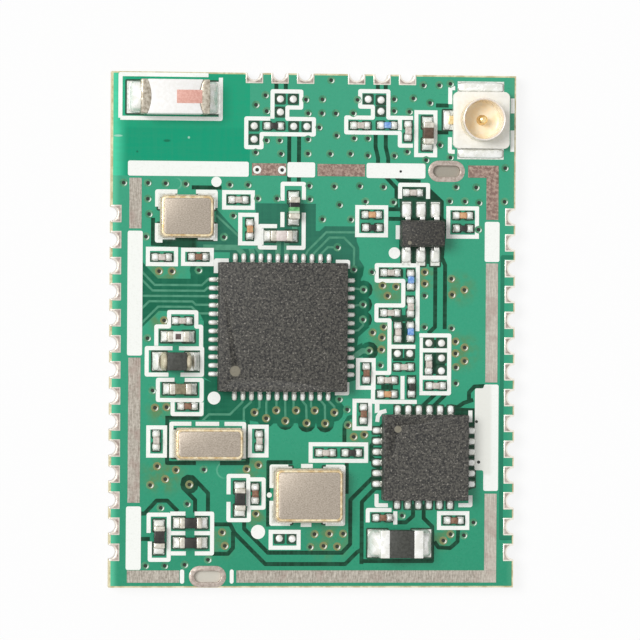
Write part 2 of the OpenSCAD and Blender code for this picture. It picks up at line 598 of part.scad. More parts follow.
// Everything that the mask leaves bare
module bare_metal() {
    edge_places() edge_pad();
    strip_shape();
    slot_places() stadium(slot_l + 2 * slot_rim, slot_w + 2 * slot_rim);
    pad_shape();
}

module mask_outline() {
    square([board_w - 2 * rim, board_l - 2 * rim], center = true);
}

module laminate_window() {
    for (points = channels) stroke(spread_all(points), channel_w);
    for (corners = clearings) polygon(spread_all(corners));
    for (via = signal_vias) translate(spread(via)) circle(via_ring_r + via_clearance, $fn = pad_sides);
}

module track_shape() {
    for (points = fine_tracks) stroke(spread_all(points), fine_track);
    for (points = wide_tracks) stroke(spread_all(points), wide_track);
}

module via_holes() {
    for (via = all_vias) translate(via) circle(via_ring_r, $fn = via_sides);
}

module board_laminate() {
    color("burlywood")
    translate([0, 0, board_z]) linear_extrude(board_t) board_shape();
}

module ground_pour() {
    color("mediumseagreen")
    translate([0, 0, copper_z]) linear_extrude(mask_t)
        difference() {
            mask_outline();
            laminate_window();
            bare_metal();
            via_holes();
        }
}

module signal_tracks() {
    color("darkseagreen")
    translate([0, 0, copper_z]) linear_extrude(mask_t)
        difference() {
            intersection() {
                track_shape();
                laminate_window();
            }
            bare_metal();
            via_holes();
        }
}

module solder_mask() {
    color("darkgreen")
    translate([0, 0, copper_z]) linear_extrude(mask_t)
        difference() {
            intersection() {
                laminate_window();
                mask_outline();
            }
            track_shape();
            bare_metal();
            via_holes();
        }
}

module bottom_mask() {
    color("seagreen")
    translate([0, 0, board_z - bottom_mask_t]) linear_extrude(bottom_mask_t - bottom_mask_gap)
        difference() {
            mask_outline();
            edge_places() edge_pad();
            slot_places() stadium(slot_l + 2 * slot_rim, slot_w + 2 * slot_rim);
        }
}

// Half-hole plating: one pad on each face and the wall that joins them
module edge_terminal() {
    difference() {
        union() {
            linear_extrude(plating_t) edge_pad();
            translate([0, 0, copper_z]) linear_extrude(pad_t) edge_pad();
        }
        cylinder(r = edge_r, h = part_z);
    }
    linear_extrude(part_z)
        difference() {
            circle(edge_r);
            circle(edge_r - plating_t);
            translate([0, -edge_r]) square(2 * edge_r);
        }
}

module edge_terminals() {
    color("rosybrown")
    edge_places() edge_terminal();
}

module shield_strips() {
    color("rosybrown")
    translate([0, 0, copper_z]) linear_extrude(pad_t) strip_shape();
}

// Slot plating: a rim on each face and the wall that joins them
module slot_ring(outward, inward) {
    difference() {
        stadium(slot_l + 2 * outward, slot_w + 2 * outward);
        stadium(slot_l - 2 * inward, slot_w - 2 * inward);
    }
}

module lug_slot_rims() {
    color("silver")
    slot_places() {
        linear_extrude(plating_t) slot_ring(slot_rim, plating_t);
        linear_extrude(part_z) slot_ring(0, plating_t);
        translate([0, 0, copper_z]) linear_extrude(pad_t) slot_ring(slot_rim, plating_t);
    }
}

module vias() {
    color("peru")
    for (via = all_vias) translate([via[0], via[1], copper_z])
        linear_extrude(mask_t)
            difference() {
                circle(via_ring_r, $fn = via_sides);
                circle(via_r, $fn = via_sides);
            }
}

// Pads under the parts
terminal_l = 0.35;
controller_terminal_w = 0.2;
transceiver_terminal_w = 0.26;
controller_count = 12;
transceiver_count = 6;
switch_pad_y = 1.18;
switch_pad_w = 0.42;
switch_pad_l = 0.62;
crystal_pad_out = 0.08;
main_crystal_pad = [0.8, 0.75];
clock_crystal_pad = [0.7, 1.3];
oscillator_pad = [0.95, 0.85];
antenna_pad = [0.75, 1.5];
coax_tab_w = 2.2;
coax_tab_l = 0.45;
coax_pad_in = 0.1;
coax_signal_w = 0.9;

module chip_pads(size) {
    pad_l = size[3] + size[4];
    for (side = [-1, 1])
        translate([side * (size[0] / 2 - size[3] + pad_l / 2), 0]) square([pad_l, size[1]], center = true);
}

module no_lead_places(side, pitch, count) {
    for (turn = [0:3], i = [0:count - 1])
        rotate(turn * quarter) translate([side / 2, (i - (count - 1) / 2) * pitch]) children();
}

module no_lead_pads(side, pitch, count, width) {
    no_lead_places(side, pitch, count)
        translate([-terminal_l, -width / 2]) square([terminal_l + pad_reach, width]);
}

module switch_pads() {
    for (side = [-1, 1], i = [-1:1])
        translate([i * switch_pitch, side * switch_pad_y])
            square([switch_pad_w, switch_pad_l], center = true);
}

module corner_pads(size, pad) {
    places = [for (i = [0, 1]) (size[i] - pad[i]) / 2 + crystal_pad_out];
    for (x = [-1, 1], y = [-1, 1])
        translate([x * places[0], y * places[1]]) square(pad, center = true);
}

module end_pads(length, pad) {
    for (x = [-1, 1])
        translate([x * ((length - pad[0]) / 2 + crystal_pad_out), 0]) square(pad, center = true);
}

module coax_pads() {
    for (y = [-1, 1]) translate([0, y * (coax_side / 2 + coax_tab_l / 2)])
        square([coax_tab_w, coax_tab_l + coax_pad_in], center = true);
    translate([-coax_side / 2 - coax_tab_l / 2, 0]) square([coax_tab_l, coax_signal_w], center = true);
}

module chip_pads_of(places, size) {
    each_place(places) chip_pads(size);
}

module pad_shape() {
    chip_pads_of(concat(grey_capacitors, brown_capacitors, tan_capacitors), size_0201);
    chip_pads_of(concat(small_resistors, small_inductors), size_0201);
    chip_pads_of(concat(filter_capacitors, indicators, diodes), size_0402);
    chip_pads_of(large_resistors, size_0402_flat);
    chip_pads_of(ferrites, size_0603);
    translate(inductor_at) chip_pads(size_0805);
    for (place = empty_pads) translate(spread(place)) circle(dome_r, $fn = pad_sides);
    translate(controller_at)
        no_lead_pads(controller_side, controller_pitch, controller_count, controller_terminal_w);
    translate(transceiver_at)
        no_lead_pads(transceiver_side, transceiver_pitch, transceiver_count, transceiver_terminal_w);
    translate(switch_at) switch_pads();
    translate(main_crystal_at) corner_pads(main_crystal_size, main_crystal_pad);
    translate(clock_crystal_at) end_pads(clock_crystal_size[0], clock_crystal_pad);
    translate(oscillator_at) corner_pads(oscillator_size, oscillator_pad);
    translate(antenna_at) end_pads(antenna_l + 2 * antenna_solder, antenna_pad);
    translate(coax_at) coax_pads();
}

module component_pads() {
    color("silver")
    translate([0, 0, copper_z]) linear_extrude(pad_t) pad_shape();
}

// White print
module silkscreen_outlines() {
    color("white")
    translate([0, 0, mask_z]) linear_extrude(print_t)
        difference() {
            union() {
                for (points = print_lines) stroke(spread_all(points), print_w);
                for (dot = print_dots) translate(spread(dot)) circle(dot[2], $fn = 2 * pad_sides);
                for (corners = print_patches) polygon(spread_all(corners));
                for (box = print_boxes)
                    difference() {
                        corners_box([box[0], box[1]], [box[2], box[3]]);
                        corners_box([box[0], box[1]], [box[2], box[3]], print_w);
                    }
            }
            pad_shape();
            via_holes();
            bar_shape();
        }
}

module bar_shape() {
    vertical_runs(strip_left, left_bars, bar_w);
    vertical_runs(strip_right, right_bars, bar_w);
    horizontal_runs(strip_top, top_bars, bar_w);
    horizontal_runs(strip_bottom, bottom_bars, bottom_bar_l);
    corners_box(wide_bar[0], wide_bar[1]);
}

module silkscreen_bars() {
    color("whitesmoke")
    translate([0, 0, mask_z]) linear_extrude(print_t) bar_shape();
}

// Solder: the slope of a fillet in parts of its reach and height
solder_climb = 0.7;
lead_solder_h = 0.2;
antenna_solder = 0.5;
fillet_slope = [[0, 0], [1, 0], [0.55, 0.12], [0.25, 0.38], [0, 1]];

module fillet(reach, height, width) {
    translate([0, width / 2, 0]) rotate([quarter, 0, 0]) linear_extrude(width)
        polygon([for (point = fillet_slope) [point[0] * reach, point[1] * height]]);
}

module chip_fillets(size) {
    both_ways() translate([size[0] / 2, 0, part_z])
        fillet(size[4], size[2] * solder_climb, size[1]);
}

module chip_fillets_of(places, size) {
    each_place(places) chip_fillets(size);
}

module solder_joints() {
    color("gainsboro") {
        chip_fillets_of(concat(grey_capacitors, brown_capacitors, tan_capacitors), size_0201);
        chip_fillets_of(concat(small_resistors, small_inductors), size_0201);
        chip_fillets_of(concat(filter_capacitors, indicators, diodes), size_0402);
        chip_fillets_of(large_resistors, size_0402_flat);
        chip_fillets_of(ferrites, size_0603);
        translate(inductor_at) chip_fillets(size_0805);
        translate(controller_at)
            no_lead_places(controller_side, controller_pitch, controller_count)
                translate([0, 0, part_z]) fillet(pad_reach, lead_solder_h, controller_terminal_w);
        translate(transceiver_at)
            no_lead_places(transceiver_side, transceiver_pitch, transceiver_count)
                translate([0, 0, part_z]) fillet(pad_reach, lead_solder_h, transceiver_terminal_w);
        translate(antenna_at)
            both_ways() translate([antenna_l / 2, 0, part_z])
                fillet(antenna_solder, antenna_h * solder_climb, antenna_pad[1]);
    }
}

module solder_domes() {
    sphere_r = cap_radius(dome_r, dome_h);
    color("gainsboro")
    for (place = spread_all(empty_pads)) translate([place[0], place[1], part_z])
        intersection() {
            translate([0, 0, dome_h - sphere_r]) sphere(sphere_r);
            cylinder(r = dome_r, h = dome_h);
        }
}

// No-lead packages
terminal_t = 0.2;
dot_depth = 0.03;
controller_dot = [-2.25, -2.05, 0.26];
transceiver_dot = [-1.42, 1.35, 0.16];

module no_lead_body(side, pitch, count, width, dot) {
    difference() {
        translate([0, 0, part_z + package_h / 2])
            cube([side, side, package_h], center = true);
        no_lead_places(side, pitch, count)
            translate([-terminal_l, -width / 2, part_z]) cube([terminal_l, width, terminal_t]);
        translate([dot[0], dot[1], part_z + package_h - dot_depth]) cylinder(r = dot[2], h = package_h);
    }
}

module no_lead_terminals(side, pitch, count, width) {
    no_lead_places(side, pitch, count)
        translate([-terminal_l, -width / 2, part_z]) cube([terminal_l, width, terminal_t]);
}

module controller_body() {
    color("dimgray")
    translate(controller_at)
        no_lead_body(
            controller_side, controller_pitch, controller_count, controller_terminal_w, controller_dot
        );
}

module controller_terminals() {
    color("silver")
    translate(controller_at)
        no_lead_terminals(controller_side, controller_pitch, controller_count, controller_terminal_w);
}

module transceiver_body() {
    color("dimgray")
    translate(transceiver_at)
        no_lead_body(
            transceiver_side, transceiver_pitch, transceiver_count, transceiver_terminal_w, transceiver_dot
        );
}

module transceiver_terminals() {
    color("silver")
    translate(transceiver_at)
        no_lead_terminals(transceiver_side, transceiver_pitch, transceiver_count, transceiver_terminal_w);
}

// Antenna switch: a body with drafted sides and gull-wing leads
switch_stand = 0.08;
switch_draft = 0.07;
lead_t = 0.13;
lead_w = 0.24;
lead_foot = 0.32;
lead_exit = 0.5;
switch_span = 2.1;

// End view of the body: drafted from the plane of the leads to both faces
module switch_profile() {
    polygon([
        [-switch_w / 2 + switch_draft, switch_h], [-switch_w / 2, lead_exit],
        [-switch_w / 2 + switch_draft, switch_stand], [switch_w / 2 - switch_draft, switch_stand],
        [switch_w / 2, lead_exit], [switch_w / 2 - switch_draft, switch_h]
    ]);
}

module switch_body() {
    color("dimgray")
    translate([switch_at[0] - switch_l / 2, switch_at[1], part_z])
        rotate([quarter, 0, quarter]) linear_extrude(switch_l) switch_profile();
}

module gull_lead() {
    knee = (switch_span / 2 + switch_w / 2) / 2 - lead_foot / 2;
    rotate([quarter, 0, quarter]) translate([0, 0, -lead_w / 2]) linear_extrude(lead_w)
        difference() {
            polygon([
                [switch_w / 2 - switch_draft, lead_exit - lead_t / 2], [knee, lead_exit - lead_t / 2],
                [switch_span / 2 - lead_foot, 0], [switch_span / 2, 0], [switch_span / 2, lead_t],
                [switch_span / 2 - lead_foot + lead_t / 2, lead_t], [knee + lead_t, lead_exit + lead_t / 2],
                [switch_w / 2 - switch_draft, lead_exit + lead_t / 2]
            ]);
            switch_profile();
        }
}

module switch_leads() {
    color("silver")
    translate([switch_at[0], switch_at[1], part_z])
        both_ways()
            for (i = [-1:1]) translate([i * switch_pitch, 0, 0]) gull_lead();
}

// Crystals and oscillator: ceramic base, gilt seam ring, metal lid
seam_h = 0.1;
lid_t = 0.08;
base_corner_r = 0.12;
seam_corner_r = 0.22;
lid_corner_r = 0.16;
seam_inset = 0.06;

module package_base(size) {
    translate([0, 0, part_z]) linear_extrude(size[2] - seam_h - lid_t)
        difference() {
            square([size[0], size[1]], center = true);
            for (x = [-1, 1], y = [-1, 1])
                translate([x * size[0] / 2, y * size[1] / 2]) circle(base_corner_r);
        }
}

module package_seam(size) {
    outline = [size[0] - 2 * seam_inset, size[1] - 2 * seam_inset];
    translate([0, 0, part_z + size[2] - seam_h - lid_t]) linear_extrude(seam_h)
        rounded_rect(outline, seam_corner_r);
}

module package_lid(size) {
    inset = seam_inset + seam_w;
    translate([0, 0, part_z + size[2] - lid_t]) linear_extrude(lid_t)
        rounded_rect([size[0] - 2 * inset, size[1] - 2 * inset], lid_corner_r);
}

module main_crystal_base() {
    color("gainsboro")
    translate(main_crystal_at) package_base(main_crystal_size);
}

module main_crystal_seam() {
    color("goldenrod")
    translate(main_crystal_at) package_seam(main_crystal_size);
}

module main_crystal_lid() {
    color("tan")
    translate(main_crystal_at) package_lid(main_crystal_size);
}

module clock_crystal_base() {
    color("gainsboro")
    translate(clock_crystal_at) package_base(clock_crystal_size);
}

module clock_crystal_seam() {
    color("goldenrod")
    translate(clock_crystal_at) package_seam(clock_crystal_size);
}

module clock_crystal_lid() {
    color("tan")
    translate(clock_crystal_at) package_lid(clock_crystal_size);
}

module oscillator_base() {
    color("gainsboro")
    translate(oscillator_at) package_base(oscillator_size);
}

module oscillator_seam() {
    color("goldenrod")
    translate(oscillator_at) package_seam(oscillator_size);
}

module oscillator_lid() {
    color("tan")
    translate(oscillator_at) package_lid(oscillator_size);
}

// Chip antenna: each end terminal bulges over the body in plan
antenna_end = 0.3;
antenna_bulge = 0.18;
antenna_mark_size = [1.18, 0.62];
antenna_mark_at = [0.65, 0.0];
mark_t = 0.01;

module antenna_end_shape() {
    bulge_r = cap_radius(antenna_w / 2, antenna_bulge);
    inner_x = antenna_l / 2 - antenna_end;
    intersection() {
        union() {
            translate([inner_x, -antenna_w / 2]) square([antenna_end, antenna_w]);
            translate([inner_x - antenna_bulge + bulge_r, 0]) circle(bulge_r, $fn = 3 * $fn);
        }
        translate([0, -antenna_w / 2]) square([antenna_l / 2, antenna_w]);
    }
}

module antenna_body() {
    color("ivory")
    translate([antenna_at[0], antenna_at[1], part_z]) linear_extrude(antenna_h)
        difference() {
            square([antenna_l, antenna_w], center = true);
            both_ways() antenna_end_shape();
        }
}

module antenna_terminals() {
    color("tan")
    translate([antenna_at[0], antenna_at[1], part_z]) linear_extrude(antenna_h)
        both_ways() antenna_end_shape();
}

module antenna_mark() {
    color("indianred")
    translate([antenna_at[0] + antenna_mark_at[0], antenna_at[1] + antenna_mark_at[1], part_z + antenna_h])
        linear_extrude(mark_t) square(antenna_mark_size, center = true);
}

// Coaxial receptacle
coax_corner_r = 0.25;
coax_flange_t = 0.1;
coax_lip = 0.04;
coax_pin_h = 0.95;
coax_pin_tip = 0.06;
coax_floor_h = 0.2;
coax_tail_w = 0.5;
coax_tail_t = 0.12;

module coax_insulator() {
    color("ivory")
    translate([coax_at[0], coax_at[1], part_z])
        difference() {
            linear_extrude(coax_base_h) rounded_rect([coax_side, coax_side], coax_corner_r);
            translate([0, 0, coax_base_h - coax_flange_t]) cylinder(r = coax_r, h = coax_base_h);
            translate([0, 0, -coax_floor_h]) cylinder(r = coax_pin_r, h = coax_h);
            translate([-coax_side, -coax_tail_w / 2, -coax_floor_h])
                cube([coax_side, coax_tail_w, coax_floor_h + coax_tail_t]);
        }
}

module coax_shell() {
    shell_h = coax_h - coax_base_h + coax_flange_t;
    color("gold")
    translate([coax_at[0], coax_at[1], part_z]) {
        translate([0, 0, coax_base_h - coax_flange_t])
            rotate_extrude()
                polygon([
                    [coax_r - coax_wall, 0], [coax_r, 0], [coax_r, shell_h - 2 * coax_lip],
                    [coax_r - coax_lip, shell_h], [coax_r - coax_wall, shell_h]
                ]);
        rotate(quarter) both_ways()
            translate([coax_side / 2, -coax_tab_w / 2, 0]) cube([coax_tab_l, coax_tab_w, coax_flange_t]);
    }
}

module coax_contact() {
    color("gold")
    translate([coax_at[0], coax_at[1], part_z]) {
        rotate_extrude()
            polygon([
                [0, 0], [coax_pin_r, 0], [coax_pin_r, coax_pin_h - coax_pin_tip],
                [coax_pin_r - coax_pin_tip, coax_pin_h], [0, coax_pin_h]
            ]);
        difference() {
            translate([-coax_side / 2 - coax_tab_l / 2, -coax_tail_w / 2, 0])
                cube([coax_side / 2 + coax_tab_l / 2, coax_tail_w, coax_tail_t]);
            cylinder(r = coax_pin_r, h = coax_tail_t);
        }
    }
}

// Chip parts: a bar with eased edges, shared by the body and its end terminals
edge_ease = 0.03;
end_wrap = 0.008;

module eased_bar(length, width, height) {
    rotate([quarter, 0, quarter]) linear_extrude(length)
        polygon([
            [-width / 2 + edge_ease, 0], [width / 2 - edge_ease, 0], [width / 2, edge_ease],
            [width / 2, height - edge_ease], [width / 2 - edge_ease, height],
            [-width / 2 + edge_ease, height], [-width / 2, height - edge_ease], [-width / 2, edge_ease]
        ]);
}

module chip_body(size) {
    middle = size[0] - 2 * size[3];
    translate([-middle / 2, 0, part_z + end_wrap])
        eased_bar(middle, size[1] - 2 * end_wrap, size[2] - 2 * end_wrap);
}

module chip_terminals(size) {
    both_ways()
        translate([size[0] / 2 - size[3], 0, part_z]) eased_bar(size[3], size[1], size[2]);
}

small_capacitors = concat(grey_capacitors, brown_capacitors, tan_capacitors);

module grey_capacitor_bodies() {
    color("gainsboro")
    each_place(grey_capacitors) chip_body(size_0201);
}

module brown_capacitor_bodies() {
    color("sienna")
    each_place(brown_capacitors) chip_body(size_0201);
}

module tan_capacitor_bodies() {
    color("sandybrown")
    each_place(tan_capacitors) chip_body(size_0201);
}

module small_capacitor_terminals() {
    color("lightgray")
    each_place(small_capacitors) chip_terminals(size_0201);
}

module filter_capacitor_bodies() {
    color("darkkhaki")
    each_place(filter_capacitors) chip_body(size_0402);
}

module filter_capacitor_terminals() {
    color("lightgray")
    each_place(filter_capacitors) chip_terminals(size_0402);
}

module small_resistor_bodies() {
    color("dimgray")
    each_place(small_resistors) chip_body(size_0201);
}

module small_resistor_terminals() {
    color("lightgray")
    each_place(small_resistors) chip_terminals(size_0201);
}

module large_resistor_bodies() {
    color("dimgray")
    each_place(large_resistors) chip_body(size_0402_flat);
}

module large_resistor_terminals() {
    color("lightgray")
    each_place(large_resistors) chip_terminals(size_0402_flat);
}

module wire_inductor_bodies() {
    color("cornflowerblue")
    each_place(small_inductors) chip_body(size_0201);
}

module wire_inductor_terminals() {
    color("lightgray")
    each_place(small_inductors) chip_terminals(size_0201);
}

module ferrite_body() {
    color("dimgray")
    each_place(ferrites) chip_body(size_0603);
}

module ferrite_terminals() {
    color("darkkhaki")
    each_place(ferrites) chip_terminals(size_0603);
}

module indicator_terminals() {
    color("tan")
    each_place(indicators) chip_terminals(size_0402);
}

module diode_body() {
    color("lightgreen")
    each_place(diodes) chip_body(size_0402);
}

module diode_terminals() {
    color("lightgray")
    each_place(diodes) chip_terminals(size_0402);
}

module power_inductor_body() {
    color("dimgray")
    translate(inductor_at) chip_body(size_0805);
}

module power_inductor_terminals() {
    color("lightgray")
    translate(inductor_at) chip_terminals(size_0805);
}

window_side = 0.26;
window_depth = 0.04;

module window_place() {
    each_place(indicators) translate([0, 0, part_z + size_0402[2] - end_wrap - window_depth]) children();
}

module window_block(height) {
    linear_extrude(height) square(window_side, center = true);
}

module indicator_body() {
    color("white")
    difference() {
        each_place(indicators) chip_body(size_0402);
        window_place() window_block(2 * window_depth);
    }
}

module indicator_window() {
    color("rosybrown")
    window_place() window_block(window_depth / 2);
}

board_laminate();
ground_pour();
signal_tracks();
solder_mask();
bottom_mask();
edge_terminals();
shield_strips();
lug_slot_rims();
vias();
component_pads();
silkscreen_outlines();
silkscreen_bars();
solder_joints();
solder_domes();
controller_body();
controller_terminals();
transceiver_body();
transceiver_terminals();
switch_body();
switch_leads();
main_crystal_base();
main_crystal_seam();
main_crystal_lid();
clock_crystal_base();
clock_crystal_seam();
clock_crystal_lid();
oscillator_base();
oscillator_seam();
oscillator_lid();
antenna_body();
antenna_terminals();
antenna_mark();
coax_insulator();
coax_shell();
coax_contact();
power_inductor_body();
power_inductor_terminals();
grey_capacitor_bodies();
brown_capacitor_bodies();
tan_capacitor_bodies();
small_capacitor_terminals();
filter_capacitor_bodies();
filter_capacitor_terminals();
small_resistor_bodies();
small_resistor_terminals();
large_resistor_bodies();
large_resistor_terminals();
wire_inductor_bodies();
wire_inductor_terminals();
ferrite_body();
ferrite_terminals();
indicator_body();
indicator_window();
indicator_terminals();
diode_body();
diode_terminals();
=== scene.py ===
import math
import random

import bmesh
import bpy
from mathutils import Euler, Matrix, Vector


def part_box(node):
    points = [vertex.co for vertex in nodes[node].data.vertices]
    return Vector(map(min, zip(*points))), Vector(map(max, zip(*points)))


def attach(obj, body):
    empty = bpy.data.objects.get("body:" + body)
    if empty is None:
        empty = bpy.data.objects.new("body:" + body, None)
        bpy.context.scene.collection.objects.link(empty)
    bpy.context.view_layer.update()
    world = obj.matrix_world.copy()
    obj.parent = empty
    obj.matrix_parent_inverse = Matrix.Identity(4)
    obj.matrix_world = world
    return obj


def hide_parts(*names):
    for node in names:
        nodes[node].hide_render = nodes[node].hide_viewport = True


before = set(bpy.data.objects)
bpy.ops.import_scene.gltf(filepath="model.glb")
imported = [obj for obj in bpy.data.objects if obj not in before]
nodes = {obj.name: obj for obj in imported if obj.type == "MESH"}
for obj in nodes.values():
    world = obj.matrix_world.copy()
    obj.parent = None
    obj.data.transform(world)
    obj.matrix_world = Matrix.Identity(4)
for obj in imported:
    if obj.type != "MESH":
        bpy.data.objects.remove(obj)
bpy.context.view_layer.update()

mm = 0.001
print("frame loaded:", len(nodes), "nodes")


def linear(channel):
    share = channel / 255
    return share / 12.92 if share <= 0.04045 else ((share + 0.055) / 1.055) ** 2.4


def tint(red, green, blue, shine=0.0):
    # an 8-bit colour as the shader wants it, less what its gloss adds
    return (*(max(linear(c) - shine, 0.003) for c in (red, green, blue)), 1)


class Wire:
    # one output socket; sums on wires add Math nodes
    def __init__(self, tree, socket=None):
        self.tree = tree
        self.socket = socket

    def node(self, kind, settings=None, sockets=None, output=0):
        made = self.tree.nodes.new("ShaderNode" + kind)
        for key, value in (settings or {}).items():
            if key == "stops":
                made.color_ramp.elements.remove(made.color_ramp.elements[1])
                made.color_ramp.elements[0].position = value[0][0]
                made.color_ramp.elements[0].color = value[0][1]
                for place, colour in value[1:]:
                    made.color_ramp.elements.new(place).color = colour
            else:
                setattr(made, key, value)
        for key, value in (sockets or {}).items():
            if isinstance(value, Wire):
                self.tree.links.new(value.socket, made.inputs[key])
            else:
                made.inputs[key].default_value = value
        return Wire(self.tree, made.outputs[output] if made.outputs else None)

    def maths(self, operation, *values):
        return self.node("Math", {"operation": operation}, dict(enumerate(values)))

    def size(self):
        return self.maths("ABSOLUTE", self)

    def __add__(self, other):
        return self.maths("ADD", self, other)

    def __sub__(self, other):
        return self.maths("SUBTRACT", self, other)

    def __rsub__(self, other):
        return self.maths("SUBTRACT", other, self)

    def __mul__(self, other):
        return self.maths("MULTIPLY", self, other)

    __radd__ = __add__
    __rmul__ = __mul__

    def capped(self):
        return self.node("Clamp", None, {0: self})

    def ramp(self, start, end, low=0.0, high=1.0):
        return self.node("MapRange", {"interpolation_type": "SMOOTHSTEP"}, {0: self, 1: start, 2: end, 3: low, 4: high})

    def over(self, below, above):
        # this wire as the factor between two colours
        return self.node("Mix", {"data_type": "RGBA"}, {0: self, 6: below, 7: above}, 2)

    def axes(self):
        split = self.tree.nodes.new("ShaderNodeSeparateXYZ")
        self.tree.links.new(self.socket, split.inputs[0])
        return [Wire(self.tree, out) for out in split.outputs]

    def noise(self, scale, detail=2.0, rough=0.5):
        return self.node("TexNoise", None, {"Vector": self, "Scale": scale, "Detail": detail, "Roughness": rough})

    def stretched(self, x, y, z):
        return self.node("Mapping", None, {"Vector": self, "Scale": (x, y, z)})

    def bump(self, depth, strength=1.0):
        # depth in micrometres for a height of 1
        return self.node("Bump", None, {"Height": self, "Distance": depth * 1e-6, "Strength": strength})

    def box(self, left, right, low, high, soft=0.1):
        # 1 inside a box of the board, in millimetres
        x, y, _ = self.axes()
        return (
            x.ramp(left - soft, left + soft) * x.ramp(right + soft, right - soft)
            * y.ramp(low - soft, low + soft) * y.ramp(high + soft, high - soft)
        )

    def spot(self, x, y, radius, soft=0.5):
        flat = self.stretched(1, 1, 0)
        away = self.node("VectorMath", {"operation": "DISTANCE"}, {0: flat, 1: (x, y, 0)}, "Value")
        return away.ramp(radius * (1 + soft), radius * (1 - soft))


def makeFinish(name, recipe):
    # a recipe takes the place in millimetres and gives the shader's sockets
    material = bpy.data.materials.new(name)
    material.use_nodes = True
    tree = material.node_tree
    tree.nodes.clear()
    start = Wire(tree)
    place = start.node("TexCoord", None, None, "Object")
    sockets = recipe(place.stretched(1000, 1000, 1000))
    shader = start.node("BsdfPrincipled", None, sockets)
    start.node("OutputMaterial", None, {"Surface": shader})
    return material


# Green mask over the copper pour
pourLook = {
    "low": (54, 148, 115), "middle": (63, 160, 126), "top": (71, 164, 131),
    "leftEdge": (104, 208, 168), "rightEdge": (88, 163, 130), "patch": (104, 132, 84),
    "shine": 0.035, "roughness": 0.3,
    # faint curved scratches: x, y, radius and the side of the ring that shows, in mm
    "scratches": [(-4.11, -6.53, 0.38, -1.0), (-6.5, 6.8, 0.26, 1.0)],
    # brown tints where flux is left round the vias: x, y, radius in mm
    "patches": [
        (-6.95, 2.6, 0.7), (-7.15, 0.5, 0.5), (3.6, 2.0, 0.7), (3.25, -0.4, 0.6), (5.3, 2.5, 0.45),
        (6.9, 2.0, 0.6), (6.95, -0.95, 0.7), (-7.1, -3.7, 0.6), (2.1, -4.8, 0.6), (-7.0, -6.7, 0.8),
        (-2.8, -6.5, 0.6), (-4.35, -9.9, 0.6), (-2.6, -8.8, 0.4), (0.8, -9.8, 0.8), (6.1, -9.6, 0.5),
    ],
}


def pourRecipe(place):
    look = pourLook
    x, y, z = place.axes()
    shades = [tint(*look[key], look["shine"]) for key in ("low", "middle", "top")]
    colour = y.ramp(-12, 0).over(shades[0], shades[1])
    colour = y.ramp(0, 12).over(colour, shades[2])
    patches = 0.0
    for px, py, radius in look["patches"]:
        patches = place.spot(px, py, radius, 0.7) + patches
    patches = patches * place.noise(2.2, 3).ramp(0.3, 0.7)
    colour = (patches * 0.85).capped().over(colour, tint(*look["patch"], look["shine"]))
    scratches = 0.0
    for cx, cy, radius, side in look["scratches"]:
        ring = place.spot(cx, cy, radius + 0.03, 0.1) - place.spot(cx, cy, radius - 0.03, 0.1)
        scratches = ring * place.box(*sorted((cx, cx + side)), cy - radius, cy + radius, 0.15) + scratches
    colour = (scratches * 0.45).capped().over(colour, tint(140, 206, 176, look["shine"]))
    left = x.ramp(-9.05, -9.42)
    right = x.ramp(9.1, 9.42)
    colour = (left * 0.8).over(colour, tint(*look["leftEdge"], look["shine"]))
    colour = (right * 0.5).over(colour, tint(*look["rightEdge"], look["shine"]))
    grain = place.noise(9, 4, 0.6)
    colour = grain.ramp(0.3, 0.75, 0.0, 0.12).over(colour, tint(96, 186, 152, look["shine"]))
    return {
        "Base Color": colour, "Roughness": place.noise(3, 3).ramp(0.2, 0.8, look["roughness"] - 0.05, look["roughness"] + 0.08),
        "Normal": place.noise(7, 2).bump(3),
    }


# Green mask straight on the laminate, seen dark: its base tone is the mask with no copper under it, plus painted shade
# from the copper edges in the narrow channels
gapLook = {
    # the first tone is the mask on bare laminate, with painted shade of the narrow channels
    "deepAndShaded": (18, 68, 52), "keepOut": (36, 157, 120), "bundle": (38, 106, 81), "middle": (54, 116, 95),
    "leftChannel": (50, 126, 99), "leftEdge": (90, 220, 176), "shine": 0.015, "roughness": 0.28,
}


def gapRecipe(place):
    look = gapLook
    x, y, z = place.axes()
    deepAndShaded, keepOut, bundle, middle, leftChannel = (
        tint(*look[key], look["shine"]) for key in ("deepAndShaded", "keepOut", "bundle", "middle", "leftChannel")
    )
    colour = place.box(-5.5, 2.6, 2.4, 6.0).over(deepAndShaded, middle)
    colour = place.box(-8.3, -4.2, -0.2, 3.2).over(colour, bundle)
    colour = place.box(-5.3, 2.6, -4.5, 3.0).over(colour, bundle)
    colour = place.box(-9.7, -2.9, 7.0, 12.2).over(colour, keepOut)
    colour = (x.ramp(-8.7, -9.42) * 0.9).over(colour, tint(*look["leftEdge"], look["shine"]))
    colour = place.box(8.7, 9.6, -9.8, 3.7).over(colour, leftChannel)
    glow = place.box(-9.2, -3, 9.4, 12)
    colour = (glow * 0.3).over(colour, tint(58, 176, 134, look["shine"]))
    dark = place.stretched(1, 2.6, 1).spot(-6.92, 8.79 * 2.6, 0.16, 0.4) + place.spot(-8.3, 8.27, 0.05)
    colour = (dark * 0.6).capped().over(colour, tint(30, 84, 62, look["shine"]))
    pale = place.stretched(1, 4, 1).spot(-9.2, 9.0 * 4, 0.2, 0.3) + place.spot(-5.9, 8.95, 0.05)
    colour = (pale * 0.7).capped().over(colour, tint(196, 232, 214, look["shine"]))
    edge = place.box(-9.2, -9.14, 5.9, 7.0, 0.02) + place.box(-9.22, -9.17, -11.6, -10.9, 0.02)
    colour = (edge * 0.8).capped().over(colour, tint(86, 104, 62, look["shine"]))
    weave = (place.stretched(5.5, 0.4, 1).noise(1) + place.stretched(0.4, 5.5, 1).noise(1)) * 0.5
    colour = weave.ramp(0.42, 0.6, 0.0, 0.14).over(colour, tint(70, 150, 118, look["shine"]))
    return {
        "Base Color": colour, "Roughness": look["roughness"], "Specular IOR Level": 0.2,
        "Normal": place.noise(6, 2).bump(3),
    }


